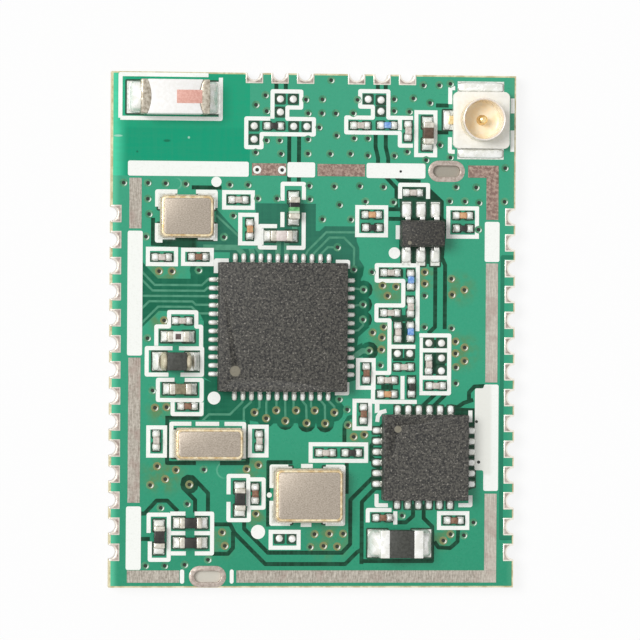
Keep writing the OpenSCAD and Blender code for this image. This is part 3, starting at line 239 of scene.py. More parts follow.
def underRecipe(place):
    grain = place.noise(5, 4, 0.6)
    colour = grain.ramp(0.3, 0.7).over(tint(50, 142, 110, 0.035), tint(62, 156, 122, 0.035))
    return {"Base Color": colour, "Roughness": 0.3, "Normal": grain.bump(3)}


def trackRecipe(place):
    shade = place.noise(4, 3).ramp(0.3, 0.7).over(tint(80, 145, 117, 0.035), tint(94, 158, 130, 0.035))
    return {"Base Color": shade, "Roughness": 0.3, "Normal": place.noise(8, 2).bump(3)}


# Tinned copper: strips of the shield frame and the edge terminals
def tinnedRecipe(place):
    x, y, z = place.axes()
    along = place.stretched(24, 1.2, 1).noise(1, 4, 0.7)
    across = place.stretched(20, 2.5, 1).noise(1, 4, 0.7)
    ends = place.box(-20, 20, -12, -11)
    streak = (along * (1 - ends) + across * ends) * 0.6 + place.noise(8, 4, 0.7) * 0.4
    colour = streak.ramp(0.36, 0.64).over(tint(138, 130, 119), tint(202, 195, 183))
    rosy = place.noise(7, 4, 0.7).ramp(0.38, 0.66).over(tint(118, 88, 80), tint(182, 156, 142))
    rose = (y.ramp(6.4, 7.1) * x.ramp(-6, -3) + place.box(8.1, 9, 5.2, 7)).capped()
    colour = (rose * 0.85).over(colour, rosy)
    colour = (x.ramp(7.5, 8.5) * y.ramp(5, 2) * 0.4).over(colour, tint(210, 202, 190))
    stains = place.noise(1.4, 2).ramp(0.5, 0.7) * 0.4
    colour = stains.over(colour, tint(158, 134, 126))
    return {
        "Base Color": colour, "Metallic": 1.0, "Roughness": streak.ramp(0.3, 0.7, 0.42, 0.3),
        "Normal": streak.bump(4),
    }


terminalLook = {
    "sidePitch": 1.21, "sideFirst": -10.35, "topPitch": 1.2, "topFirst": -2.85, "half": 0.41, "depth": 0.49,
    "hole": 0.35, "line": 0.05, "edgeX": 9.5, "edgeY": 12.0,
}


def terminalRecipe(place):
    one = terminalLook
    x, y, z = place.axes()
    mottle = place.noise(6, 4, 0.65)
    colour = mottle.ramp(0.32, 0.68).over(tint(146, 130, 120), tint(200, 188, 178))

    def outline(along, inward, first, pitch):
        # how near a point is to the sides of its pad or to its hole
        step = (along - first) * (1 / pitch)
        off = (step - step.maths("ROUND", step)).size() * pitch
        sides = off.ramp(one["half"] - one["line"] * 1.5, one["half"] - one["line"] * 0.6)
        back = inward.ramp(one["depth"] - one["line"] * 1.5, one["depth"] - one["line"] * 0.6)
        squares = off * off + inward * inward
        away = squares.maths("SQRT", squares)
        hole = away.ramp(one["hole"] + one["line"] * 1.3, one["hole"] + one["line"] * 0.3)
        return (sides + back + hole).capped()

    # painted highlight: a pale line along the edges of each pad and round its half hole, stronger towards +X
    side = outline(y, one["edgeX"] - x.size(), one["sideFirst"], one["sidePitch"])
    top = outline(x, one["edgeY"] - y, one["topFirst"], one["topPitch"])
    upper = y.ramp(11.2, 11.3)
    line = top * upper + side * (1 - upper)
    strength = line * x.ramp(-9, 9, 0.55, 0.95)
    colour = strength.over(colour, tint(240, 234, 222))
    return {"Base Color": colour, "Metallic": 0.9, "Roughness": mottle.ramp(0.3, 0.7, 0.28, 0.4), "Normal": mottle.bump(6)}


# Bright solder
def solderRecipe(place):
    mottle = place.noise(3.5, 2, 0.5)
    x, y, z = place.axes()
    colour = mottle.ramp(0.35, 0.65).over(tint(236, 236, 228, 0.02), tint(253, 253, 250, 0.02))
    # painted shade: the foot of each joint is darkened, which gives a dark rim round each blob
    colour = z.ramp(0.94, 0.885, 0.0, 0.75).over(colour, tint(104, 108, 94, 0.02))
    return {"Base Color": colour, "Metallic": 0.2, "Roughness": mottle.ramp(0.3, 0.7, 0.22, 0.32), "Normal": mottle.bump(2)}


def printRecipe(place):
    x, y, z = place.axes()
    patchy = place.noise(11, 3, 0.65)
    colour = patchy.ramp(0.3, 0.5).over(tint(239, 241, 235), tint(246, 248, 243))
    colour = (x.ramp(7.4, 7.8) * place.box(7.4, 8.4, -6.7, -2.5) * 0.8).over(colour, tint(229, 229, 221))
    return {"Base Color": colour, "Roughness": 0.55, "Normal": patchy.bump(3)}


def laminateRecipe(place):
    weave = place.stretched(2, 2, 30).noise(1, 3) * 0.7 + place.noise(7, 3) * 0.3
    colour = weave.ramp(0.4, 0.6).over(tint(194, 182, 138), tint(230, 220, 184))
    return {"Base Color": colour, "Roughness": weave.ramp(0.3, 0.7, 0.5, 0.7), "Normal": weave.bump(10)}


def compoundRecipe(dark, light, speck, scale=11.0, marks=()):
    # marks are the light discs at a chip's first terminal: x, y, radius in mm
    def recipe(place):
        grain = place.noise(scale, 3, 0.75)
        colour = grain.ramp(0.4, 0.6).over(tint(*dark, 0.012), tint(*light, 0.012))
        colour = place.noise(scale * 1.1, 1, 0.5).ramp(0.6, 0.74).over(colour, tint(*speck, 0.02))
        for x, y, radius in marks:
            disc = place.spot(x, y, radius, 0.12)
            colour = (disc * grain.ramp(0.2, 0.6, 0.75, 1)).over(colour, tint(136, 131, 116, 0.02))
        return {"Base Color": colour, "Roughness": grain.ramp(0.3, 0.7, 0.62, 0.5), "Normal": grain.bump(7)}
    return recipe


def ceramicRecipe(dark, light, rough=0.55, depth=5.0, scale=6.0):
    def recipe(place):
        grain = place.noise(scale, 4, 0.65)
        colour = grain.ramp(0.32, 0.68).over(tint(*dark, 0.02), tint(*light, 0.02))
        return {"Base Color": colour, "Roughness": grain.ramp(0.3, 0.7, rough + 0.08, rough - 0.08), "Normal": grain.bump(depth)}
    return recipe


def metalRecipe(dark, light, rough=0.3, depth=5.0, scale=6.0, stretch=(1, 1, 1)):
    def recipe(place):
        grain = place.stretched(*stretch).noise(scale, 4, 0.6)
        colour = grain.ramp(0.32, 0.68).over(tint(*dark), tint(*light))
        return {
            "Base Color": colour, "Metallic": 1.0, "Roughness": grain.ramp(0.3, 0.7, rough + 0.08, rough - 0.06),
            "Normal": grain.bump(depth),
        }
    return recipe


# Rings of the vias: mask over copper, brown where flux is left
def viaRecipe(place):
    grain = place.noise(3, 2)
    ring = grain.ramp(0.35, 0.65).over(tint(74, 144, 110, 0.035), tint(102, 162, 126, 0.035))
    brown = place.box(-2.95, 1.2, -4.6, -3.5) + place.spot(-5.77, -7.2, 0.3)
    for px, py, radius in pourLook["patches"]:
        brown = place.spot(px, py, radius * 1.15, 0.3) + brown
    colour = (brown * 0.75).capped().over(ring, tint(152, 142, 96, 0.035))
    return {"Base Color": colour, "Roughness": grain.ramp(0.3, 0.7, 0.22, 0.34), "Normal": grain.bump(4)}


# Bodies whose finish changes from one to the next
def filterRecipe(place):
    grain = place.noise(6, 4, 0.65)
    olive = grain.ramp(0.32, 0.68).over(tint(116, 108, 86, 0.02), tint(150, 142, 116, 0.02))
    pink = grain.ramp(0.32, 0.68).over(tint(214, 200, 194, 0.02), tint(238, 228, 222, 0.02))
    brown = grain.ramp(0.32, 0.68).over(tint(78, 62, 52, 0.02), tint(104, 84, 70, 0.02))
    colour = place.box(-2.6, -0.6, 3.8, 5).over(olive, pink)
    colour = place.box(4.6, 6, 8.4, 10.2).over(colour, brown)
    return {"Base Color": colour, "Roughness": grain.ramp(0.3, 0.7, 0.55, 0.4), "Normal": grain.bump(5)}


def shellRecipe(place):
    # painted reflection: the gilt is coloured as if mirroring the bright room, tan on the far wall and cream elsewhere;
    # the top of the lip is paler
    x, y, z = place.axes()
    grain = place.noise(5, 3)
    side = (x - 7.82) * 0.75 - (y - 9.9) * 0.65
    colour = side.ramp(-0.8, 0.55).over(tint(244, 224, 190, 0.02), tint(252, 246, 230, 0.02))
    lip = z.ramp(1.98, 2.08)
    colour = (lip * 0.8).over(colour, tint(244, 234, 226, 0.02))
    return {"Base Color": colour, "Metallic": 0.15, "Roughness": grain.ramp(0.3, 0.7, 0.2, 0.3), "Normal": grain.bump(1)}


def slotRecipe(place):
    x, y, z = place.axes()
    # painted shade of the floor seen through the slots, darker in the upper one
    colour = y.ramp(-4, 4).over(tint(206, 202, 190), tint(162, 156, 143))
    return {"Base Color": colour, "Roughness": 0.5, "Normal": place.noise(6, 3).bump(3)}


def diodeRecipe(place):
    x, y, z = place.axes()
    grain = place.noise(6, 3)
    green = grain.ramp(0.3, 0.7).over(tint(84, 158, 98, 0.02), tint(126, 196, 134, 0.02))
    band = y.ramp(5.72, 5.76)
    colour = band.over(green, tint(30, 34, 30, 0.02))
    colour = y.ramp(5.58, 5.54).over(colour, tint(210, 222, 206, 0.02))
    return {"Base Color": colour, "Roughness": 0.3, "Normal": grain.bump(2)}


finishes = {
    "pour": pourRecipe, "under": underRecipe, "gap": gapRecipe, "track": trackRecipe, "tinned": tinnedRecipe,
    "terminal": terminalRecipe, "solder": solderRecipe, "print": printRecipe, "laminate": laminateRecipe,
    "filterCeramic": filterRecipe, "diodeBands": diodeRecipe, "shellMetal": shellRecipe,
    "tanEnds": ceramicRecipe((184, 174, 148), (216, 208, 182), 0.38, 6, 8),
    "viaDark": ceramicRecipe((26, 34, 28), (48, 56, 44), 0.4),
    "slotShadeGrey": slotRecipe,
    "padGapShade": ceramicRecipe((22, 62, 46), (40, 86, 66), 0.35, 2, 4),
    "padTin": metalRecipe((200, 201, 193), (240, 241, 235), 0.34, 3, 8),
    "lugRim": metalRecipe((158, 144, 134), (196, 184, 174), 0.34, 6, 7),
    "tailGold": metalRecipe((224, 190, 130), (250, 226, 170), 0.22, 3, 7),
    "viaRing": viaRecipe,
    "compound": compoundRecipe(
        (22, 21, 19), (86, 84, 78), (142, 138, 130), 10.0, marks=[(-3.75, -1.9, 0.25), (3.89, -4.57, 0.165)]
    ),
    "switchCompound": compoundRecipe((12, 12, 11), (68, 66, 60), (112, 108, 100), 10.0, marks=[(4.37, 4.12, 0.09)]),
    "leadMetal": metalRecipe((206, 206, 200), (244, 244, 238), 0.26),
    "baseCeramic": ceramicRecipe((178, 168, 148), (214, 204, 182)),
    "gilt": metalRecipe((204, 174, 126), (250, 234, 198), 0.22, 2, 4),
    "lidMetal": metalRecipe((152, 141, 128), (190, 179, 165), 0.46, 2, 14, (1, 2, 1)),
    "antennaCeramic": ceramicRecipe((246, 244, 240), (253, 252, 250), 0.45),
    "endMetal": metalRecipe((184, 178, 164), (228, 224, 212), 0.3, 4, 6),
    "antennaEnds": metalRecipe((146, 136, 120), (206, 198, 182), 0.32, 6, 6),
    "markInk": ceramicRecipe((218, 160, 146), (236, 186, 172), 0.5, 3, 11),
    "housing": ceramicRecipe((245, 242, 232), (252, 250, 243), 0.4, 3, 4),
    "dish": ceramicRecipe((252, 232, 196), (254, 244, 222), 0.3, 2, 3),
    "greyCeramic": ceramicRecipe((190, 181, 171), (226, 218, 209)),
    "brownCeramic": ceramicRecipe((118, 86, 70), (156, 120, 98)),
    "tanCeramic": ceramicRecipe((196, 146, 104), (222, 176, 134)),
    "glaze": ceramicRecipe((44, 43, 40), (66, 64, 60), 0.32),
    "blueCoat": ceramicRecipe((92, 142, 214), (168, 202, 240), 0.3),
    "ferrite": ceramicRecipe((56, 57, 53), (78, 79, 74), 0.5, 8, 8),
    "indicatorWhite": ceramicRecipe((236, 234, 226), (250, 249, 244), 0.35),
    "emitter": ceramicRecipe((84, 72, 70), (112, 98, 96), 0.3),
}
finishes = {name: makeFinish(name, recipe) for name, recipe in finishes.items()}
print("finishes made:", len(finishes))


def dress(nodeName, finish):
    # a CAD node keeps its shape and gets a better material
    mesh = nodes[nodeName].data
    mesh.materials.clear()
    mesh.materials.append(finishes[finish])


for nodeName, finish in {
    "board_laminate": "laminate", "ground_pour": "pour", "signal_tracks": "track", "solder_mask": "gap",
    "bottom_mask": "under", "shield_strips": "tinned",
    "component_pads": "padTin",
}.items():
    dress(nodeName, finish)


def addPiece(bm, pieceName, finish, replaced, smooth=35):
    mesh = bpy.data.meshes.new(pieceName)
    bm.to_mesh(mesh)
    bm.free()
    mesh.shade_smooth()
    mesh.set_sharp_from_angle(angle=math.radians(smooth))
    piece = bpy.data.objects.new(pieceName, mesh)
    bpy.context.scene.collection.objects.link(piece)
    mesh.materials.append(finishes[finish])
    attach(piece, "root")
    if replaced:
        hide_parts(*replaced)
    return piece


def mergedCopy(nodeName):
    bm = bmesh.new()
    bm.from_mesh(nodes[nodeName].data)
    bmesh.ops.remove_doubles(bm, verts=bm.verts, dist=1e-7)
    return bm


def solidsOf(nodeName):
    # each solid of a node as its lowest and highest corner and its points
    bm = mergedCopy(nodeName)
    left, found = set(bm.verts), []
    while left:
        edge, group = [left.pop()], []
        while edge:
            vert = edge.pop()
            group.append(vert.co.copy())
            for link in vert.link_edges:
                other = link.other_vert(vert)
                if other in left:
                    left.discard(other)
                    edge.append(other)
        low = Vector([min(p[i] for p in group) for i in range(3)])
        high = Vector([max(p[i] for p in group) for i in range(3)])
        found.append((low, high, group))
    bm.free()
    return sorted(found, key=lambda solid: (round(solid[0].x, 6), round(solid[0].y, 6)))


def softened(nodeName, pieceName, finish, width, segments=2, chosen=None, smooth=35):
    # a copy of a node with rounded edges; width in millimetres
    bm = mergedCopy(nodeName)
    bmesh.ops.dissolve_limit(bm, angle_limit=math.radians(1), verts=bm.verts, edges=bm.edges)
    edges = [
        edge for edge in bm.edges
        if len(edge.link_faces) == 2 and edge.calc_face_angle(0) > math.radians(30) and (not chosen or chosen(edge))
    ]
    bmesh.ops.bevel(
        bm, geom=edges, offset=width * mm, segments=segments, profile=0.5, affect="EDGES", material=-1,
        clamp_overlap=True,
    )
    return addPiece(bm, pieceName, finish, [nodeName], smooth=smooth)


# Small parts: rounded copies of their solids
for nodeName, pieceName, finish, width in [
    ("controller_terminals", "controllerTerminals", "leadMetal", 0.02),
    ("transceiver_terminals", "transceiverTerminals", "leadMetal", 0.02),
    ("main_crystal_base", "mainCrystalBase", "baseCeramic", 0.02),
    ("main_crystal_seam", "mainCrystalSeam", "gilt", 0.03),
    ("main_crystal_lid", "mainCrystalLid", "lidMetal", 0.03),
    ("clock_crystal_base", "clockCrystalBase", "baseCeramic", 0.02),
    ("clock_crystal_seam", "clockCrystalSeam", "gilt", 0.03),
    ("clock_crystal_lid", "clockCrystalLid", "lidMetal", 0.03),
    ("oscillator_base", "oscillatorBase", "baseCeramic", 0.02),
    ("oscillator_seam", "oscillatorSeam", "gilt", 0.03),
    ("oscillator_lid", "oscillatorLid", "lidMetal", 0.03),
    ("switch_body", "switchBody", "switchCompound", 0.03),
    ("switch_leads", "switchLeads", "leadMetal", 0.02),
    ("antenna_body", "antennaBody", "antennaCeramic", 0.05),
    ("antenna_terminals", "antennaTerminals", "antennaEnds", 0.05),
    ("antenna_mark", "antennaMark", "markInk", 0.004),
    ("power_inductor_body", "powerInductorBody", "ferrite", 0.06),
    ("power_inductor_terminals", "powerInductorTerminals", "solder", 0.1),
    ("grey_capacitor_bodies", "greyCapacitorBodies", "greyCeramic", 0.02),
    ("brown_capacitor_bodies", "brownCapacitorBodies", "brownCeramic", 0.02),
    ("tan_capacitor_bodies", "tanCapacitorBodies", "tanCeramic", 0.02),
    ("filter_capacitor_bodies", "filterCapacitorBodies", "filterCeramic", 0.03),
    ("filter_capacitor_terminals", "filterCapacitorTerminals", "endMetal", 0.04),
    ("small_resistor_bodies", "smallResistorBodies", "glaze", 0.02),
    ("large_resistor_bodies", "largeResistorBodies", "glaze", 0.02),
    ("large_resistor_terminals", "largeResistorTerminals", "endMetal", 0.03),
    ("wire_inductor_bodies", "wireInductorBodies", "blueCoat", 0.03),
    ("ferrite_body", "ferriteBody", "ferrite", 0.05),
    ("indicator_body", "indicatorBody", "indicatorWhite", 0.02),
    ("indicator_window", "indicatorWindow", "emitter", 0.005),
    ("indicator_terminals", "indicatorTerminals", "endMetal", 0.03),
    ("diode_body", "diodeBody", "diodeBands", 0.03),
    ("diode_terminals", "diodeTerminals", "endMetal", 0.04),
    ("coax_insulator", "coaxHousing", "housing", 0.03),
]:
    softened(nodeName, pieceName, finish, width)


def topEdges(nodeName):
    low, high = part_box(nodeName)
    def chosen(edge):
        points = [vert.co for vert in edge.verts]
        onTop = all(abs(p.z - high.z) < 1e-6 for p in points)
        onSide = all(
            min(abs(p.x - low.x), abs(p.x - high.x), abs(p.y - low.y), abs(p.y - high.y)) < 1e-6 for p in points
        )
        upright = (points[0] - points[1]).xy.length < 1e-6 and all(
            min(abs(p.x - low.x), abs(p.x - high.x)) < 1e-6 and min(abs(p.y - low.y), abs(p.y - high.y)) < 1e-6
            for p in points
        )
        return (onTop and onSide) or upright
    return chosen


def upright(edge):
    one, other = (vert.co for vert in edge.verts)
    return (one - other).xy.length < 1e-6


softened("silkscreen_outlines", "printedOutlines", "print", 0.06, 2, upright, 0.3)
softened("silkscreen_bars", "printedBars", "print", 0.14, 4, upright, 0.3)
softened("lug_slot_rims", "slotRims", "lugRim", 0.012)
softened("edge_terminals", "edgeTerminals", "terminal", 0.018)
softened("controller_body", "controllerBody", "compound", 0.05, 3, topEdges("controller_body"))
softened("transceiver_body", "transceiverBody", "compound", 0.05, 3, topEdges("transceiver_body"))
print("packages and small parts rounded")


def mergeInto(bm, part):
    mesh = bpy.data.meshes.new("part")
    part.to_mesh(mesh)
    part.free()
    bm.from_mesh(mesh)
    bpy.data.meshes.remove(mesh)


# Vias: a plated funnel in each, with a dark disc low in it as painted shade for the deep hole
viaSettings = {"rim": 0.195, "mouth": 0.09, "lip": 0.008, "depth": 0.02, "sides": 16}


def spunForm(bm, points, centre, sides):
    # turns a profile of (radius, height) about an upright axis
    verts = [bm.verts.new((centre.x + r * mm, centre.y, z * mm)) for r, z in points]
    edges = [bm.edges.new(pair) for pair in zip(verts, verts[1:])]
    bmesh.ops.spin(
        bm, geom=verts + edges, cent=centre, axis=(0, 0, 1), angle=math.tau, steps=sides, use_merge=True,
    )
    bmesh.ops.remove_doubles(bm, verts=bm.verts, dist=1e-8)


def viaForms():
    bm = bmesh.new()
    one = viaSettings
    for low, high, _ in solidsOf("vias"):
        centre = (low + high) / 2
        top = high.z / mm
        part = bmesh.new()
        spunForm(part, [
            (one["rim"], top - 0.01), (one["rim"], top + one["lip"] * 0.4), (one["rim"] - 0.03, top + one["lip"]),
            ((one["rim"] + one["mouth"]) / 2, top - 0.002), (one["mouth"], top - one["depth"]),
            (one["rim"] - 0.01, top - one["depth"]), (one["rim"], top - 0.01),
        ], centre, one["sides"])
        bmesh.ops.recalc_face_normals(part, faces=part.faces)
        mergeInto(bm, part)
    return bm


addPiece(viaForms(), "viaFunnels", "viaRing", ["vias"])


def disc(bm, centre, radius, sides):
    # a thin closed disc, its top at the centre's height
    depth = 0.006 * mm
    place = Matrix.Translation(centre - Vector((0, 0, depth / 2))) @ Matrix.Rotation(math.pi / sides, 4, "Z")
    bmesh.ops.create_cone(
        bm, cap_ends=True, segments=sides, radius1=radius * mm, radius2=radius * mm, depth=depth, matrix=place,
    )


# painted shade: a dark disc at the bottom of each funnel stands for the shadowed hole
def viaHoleShades():
    bm = bmesh.new()
    for low, high, _ in solidsOf("vias"):
        middle = (low + high) / 2
        disc(bm, Vector((middle.x, middle.y, high.z - viaSettings["depth"] * mm)), viaSettings["mouth"] * 1.04, 12)
    return bm


addPiece(viaHoleShades(), "viaHoleShades", "viaDark", [])


def viaCrescents():
    # painted highlight: white crescents on the right of each via stand for its plated wall, lit from the left
    bm = bmesh.new()
    one = crescentSettings
    for low, high, _ in solidsOf("vias"):
        middle = (low + high) / 2
        rows = []
        for step in range(one["steps"] + 1):
            share = step / one["steps"] * 2 - 1
            angle = math.radians(one["middle"] + one["spread"] * share)
            width = one["width"] * (1 - share * share) + 0.004
            way = Vector((math.cos(angle), math.sin(angle), 0))
            rows.append([
                bm.verts.new(Vector((middle.x, middle.y, high.z + level * mm)) + way * radius * mm)
                for radius, level in [
                    (one["radius"], 0.002), (one["radius"] + width, 0.002), (one["radius"] + width / 2, 0.014),
                ]
            ])
        for row, other in zip(rows, rows[1:]):
            for i in range(3):
                after = (i + 1) % 3
                bm.faces.new((row[i], row[after], other[after], other[i]))
        bm.faces.new(rows[0])
        bm.faces.new(rows[-1])
    bmesh.ops.recalc_face_normals(bm, faces=bm.faces)
    return bm


# the crescents are a painted highlight, in the white of the print finish
crescentSettings = {"middle": -30.0, "spread": 60.0, "steps": 6, "radius": 0.115, "width": 0.045}
addPiece(viaCrescents(), "viaCrescents", "print", [])
print("vias made")


# Solder and end caps: pillows with full sides and rounded corners
pillowSettings = {"rings": 7, "turns": 20, "square": 3.2, "fall": 2.4, "skirt": 0.004}


def pillow(low, high, lean, square=None):
    # fills the box; lean 0 gives an even top, more moves its height to +X
    one = pillowSettings
    power = 2 / (square or one["square"])
    part = bmesh.new()
    half = (high - low) / 2
    middle = (low + high) / 2
    rows = []
    for ring in range(one["rings"]):
        share = 1 - ring / one["rings"]
        row = []
        for step in range(one["turns"]):
            angle = math.tau * (step + 0.5) / one["turns"]
            c, s = math.cos(angle), math.sin(angle)
            x = math.copysign(abs(c) ** power, c) * share
            y = math.copysign(abs(s) ** power, s) * share
            climb = (1 - share ** one["fall"]) ** 0.5
            slope = 1 - lean * (1 - x) / 2
            row.append(part.verts.new((
                middle.x + half.x * x, middle.y + half.y * y,
                low.z + one["skirt"] * mm * (ring > 0) + (high.z - low.z - one["skirt"] * mm) * climb * max(slope, 0.04),
            )))
        rows.append(row)
    top = part.verts.new((middle.x, middle.y, low.z + (high.z - low.z) * (1 - lean / 2)))
    for lower, upper in zip(rows, rows[1:]):
        for step in range(one["turns"]):
            after = (step + 1) % one["turns"]
            part.faces.new((lower[step], lower[after], upper[after], upper[step]))
    for step in range(one["turns"]):
        part.faces.new((rows[-1][step], rows[-1][(step + 1) % one["turns"]], top))
    part.faces.new(list(reversed(rows[0])))
    return part


def turnedPillow(bm, foot, toBody, reach, breadth, height, lean, square=None):
    # a pillow whose high side faces its part
    part = pillow(Vector((-reach, -breadth / 2, 0)), Vector((0, breadth / 2, height)), lean, square)
    bmesh.ops.recalc_face_normals(part, faces=part.faces)
    turn = Matrix.Rotation(math.atan2(toBody.y, toBody.x), 4, "Z")
    bmesh.ops.transform(part, matrix=Matrix.Translation(foot) @ turn, verts=part.verts)
    mergeInto(bm, part)


def wayOf(low, high, points):
    # the side of a fillet that stands against its part
    crown = [p for p in points if p.z > high.z - 1e-6]
    lean = sum(crown, Vector()) / len(crown) - (low + high) / 2
    alongX = abs(lean.x) / (high.x - low.x) > abs(lean.y) / (high.y - low.y)
    way = (Vector((lean.x, 0, 0)) if alongX else Vector((0, lean.y, 0))).normalized()
    reach, breadth = (high.x - low.x, high.y - low.y) if alongX else (high.y - low.y, high.x - low.x)
    return way, reach, breadth


solderSettings = {
    "leadReach": 1.1, "leadBreadth": 1.2, "leadHeight": 0.85, "capTuck": 0.03, "capBreadth": 1.22,
}
leadPillows, capPillows, widePillows = (bmesh.new() for _ in range(3))
smallEnd = 0.15 * mm
# dark rings round the pads: partly the mask's clearance, partly painted contact shade round each part
padGapsAndShade = bmesh.new()
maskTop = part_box("ground_pour")[1].z
for index, (low, high, _) in enumerate(solidsOf("component_pads")):
    size = high - low
    if max(size.x, size.y) > 1.9 * mm or min(size.x, size.y) < 0.25 * mm:
        continue
    grow = 0.08 * mm
    top = maskTop + (0.0026 + 0.0002 * (index % 4)) * mm
    part = bmesh.new()
    bmesh.ops.create_cube(part, size=1, matrix=Matrix.Translation(
        ((low.x + high.x) / 2, (low.y + high.y) / 2, top - 0.003 * mm)
    ) @ Matrix.Diagonal((size.x + 2 * grow, size.y + 2 * grow, 0.006 * mm, 1)))
    corners = [edge for edge in part.edges if abs(edge.verts[0].co.z - edge.verts[1].co.z) > 0.004 * mm]
    bmesh.ops.bevel(
        part, geom=corners, offset=0.08 * mm, segments=3, profile=0.5, affect="EDGES", material=-1, clamp_overlap=True,
    )
    mergeInto(padGapsAndShade, part)
addPiece(padGapsAndShade, "padGapsAndShade", "padGapShade", [])
for low, high, points in solidsOf("solder_joints"):
    way, reach, breadth = wayOf(low, high, points)
    one = solderSettings
    middle = (low + high) / 2
    foot = Vector((middle.x, middle.y, low.z)) + way * reach / 2
    if high.z - low.z < 0.201 * mm and breadth < 0.27 * mm:
        turnedPillow(
            leadPillows, foot, way, reach * one["leadReach"], breadth * one["leadBreadth"],
            (high.z - low.z) * one["leadHeight"], 0.2, 2.6,
        )
    elif breadth < 0.31 * mm:
        height = (high.z - low.z) / 0.7
        turnedPillow(
            capPillows, foot + way * (smallEnd + one["capTuck"] * mm), way, reach + smallEnd + one["capTuck"] * mm,
            breadth * one["capBreadth"], height * 1.05, 0.12, 3.0,
        )
    else:
        climb = 0.0
        if breadth > 1.4 * mm:
            climb = 0.24 if way.x > 0 else 0.06
        elif breadth > 1.2 * mm:
            climb = 0.3 if way.x > 0 else 0.12
        tall = (high.z - low.z) / 0.7 * 1.02 if climb > 0.1 else high.z - low.z
        turnedPillow(
            widePillows, foot + way * (0.03 + climb) * mm, way, reach + (0.03 + climb) * mm, breadth, tall,
            0.45 if climb > 0.1 else 0.75, 4.5,
        )

footPillows = bmesh.new()
bodyLow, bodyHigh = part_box("switch_body")
for low, high, _ in solidsOf("switch_leads"):
    middle = (low + high) / 2
    outward = -1 if middle.y < (bodyLow.y + bodyHigh.y) / 2 else 1
    edge = (low.y if outward < 0 else high.y) + outward * (0.4 if outward > 0 else 0.3) * mm
    turnedPillow(
        footPillows, Vector((middle.x, edge - outward * 0.72 * mm, low.z)), Vector((0, -outward, 0)), 0.72 * mm,
        0.46 * mm, 0.19 * mm, 0.25, 5.0,
    )
tailLow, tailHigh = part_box("coax_contact")
turnedPillow(
    footPillows, Vector((tailLow.x + 0.12 * mm, (tailLow.y + tailHigh.y) / 2, tailLow.z)), Vector((1, 0, 0)),
    0.34 * mm, 0.92 * mm, 0.12 * mm, 0.3, 4.5,
)
lensEnds = bmesh.new()
for low, high, _ in solidsOf("ferrite_terminals"):
    side = 1 if (low.x + high.x) / 2 < sum(c.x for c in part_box("ferrite_body")) / 2 else -1
    foot = Vector(((high.x if side > 0 else low.x) + side * 0.1 * mm, (low.y + high.y) / 2, low.z))
    turnedPillow(
        lensEnds, foot, Vector((side, 0, 0)), high.x - low.x + 0.06 * mm, (high.y - low.y) * 1.02,
        (high.z - low.z) * 1.06, 0.0, 2.6,
    )
addPiece(lensEnds, "ferriteTerminals", "tanEnds", ["ferrite_terminals"])
addPiece(footPillows, "footSolder", "solder", [])
addPiece(leadPillows, "leadSolder", "solder", ["solder_joints"])
addPiece(widePillows, "endSolder", "solder", ["solder_joints"])
addPiece(capPillows, "smallEnds", "solder", [
    "small_capacitor_terminals", "small_resistor_terminals", "wire_inductor_terminals",
])


def solderCushions():
    bm = bmesh.new()
    for low, high, _ in solidsOf("solder_domes"):
        size = (high - low) / 2
        spot = Matrix.Translation(((low.x + high.x) / 2, (low.y + high.y) / 2, low.z))
        start = len(bm.verts)
        bmesh.ops.create_uvsphere(
            bm, u_segments=16, v_segments=10, radius=1,
            matrix=spot @ Matrix.Diagonal((size.x, size.y, high.z - low.z, 1)),
        )
    bmesh.ops.bisect_plane(
        bm, geom=bm.verts[:] + bm.edges[:] + bm.faces[:], plane_co=(0, 0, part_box("solder_domes")[0].z),
        plane_no=(0, 0, -1), clear_outer=True,
    )
    bmesh.ops.holes_fill(bm, edges=[e for e in bm.edges if e.is_boundary], sides=0)
    return bm


addPiece(solderCushions(), "solderCushions", "solder", ["solder_domes"])
print("solder made")


# Coaxial receptacle: shell with a rolled lip and a snap groove, dish and pin
coaxSettings = {
    "shell": [
        (0.86, 0.28), (0.86, 0.36), (0.875, 0.6), (0.9, 0.95), (0.905, 1.14), (0.915, 1.2), (0.94, 1.235), (0.965, 1.245),
        (0.985, 1.235), (1.0, 1.205), (1.0, 0.86), (0.975, 0.82), (0.97, 0.76), (0.975, 0.7), (1.0, 0.66),
        (1.0, 0.36), (0.97, 0.28), (0.86, 0.28),
    ],
    "dish": [(0.0, 0.262), (0.5, 0.262), (0.72, 0.27), (0.82, 0.3), (0.88, 0.37), (0.88, 0.255), (0.0, 0.255)],
    "pin": [
        (0.0, 0.92), (0.05, 0.917), (0.1, 0.904), (0.145, 0.882), (0.18, 0.85), (0.204, 0.81), (0.215, 0.76),
        (0.215, 0.3), (0.24, 0.262), (0.24, 0.25), (0.0, 0.25),
    ],
    "sides": 64,
}


def coaxForm(points):
    bm = bmesh.new()
    low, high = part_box("coax_insulator")
    base = low.z / mm
    centre = Vector(((low.x + high.x) / 2, (low.y + high.y) / 2, 0))
    spunForm(bm, [(r, z + base) for r, z in points], centre, coaxSettings["sides"])
    bmesh.ops.recalc_face_normals(bm, faces=bm.faces)
    return bm


def coaxTabs():
    # the two solder tabs, wetted all over
    bm = bmesh.new()
    low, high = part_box("coax_shell")
    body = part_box("coax_insulator")
    for top in (True, False):
        near, far = (body[1].y, high.y) if top else (body[0].y, low.y)
        turnedPillow(
            bm, Vector(((low.x + high.x) / 2, near, low.z)), Vector((0, -1 if top else 1, 0)), abs(far - near) * 1.0,
            2.2 * mm, 0.2 * mm, 0.45, 7,
        )
    return bm


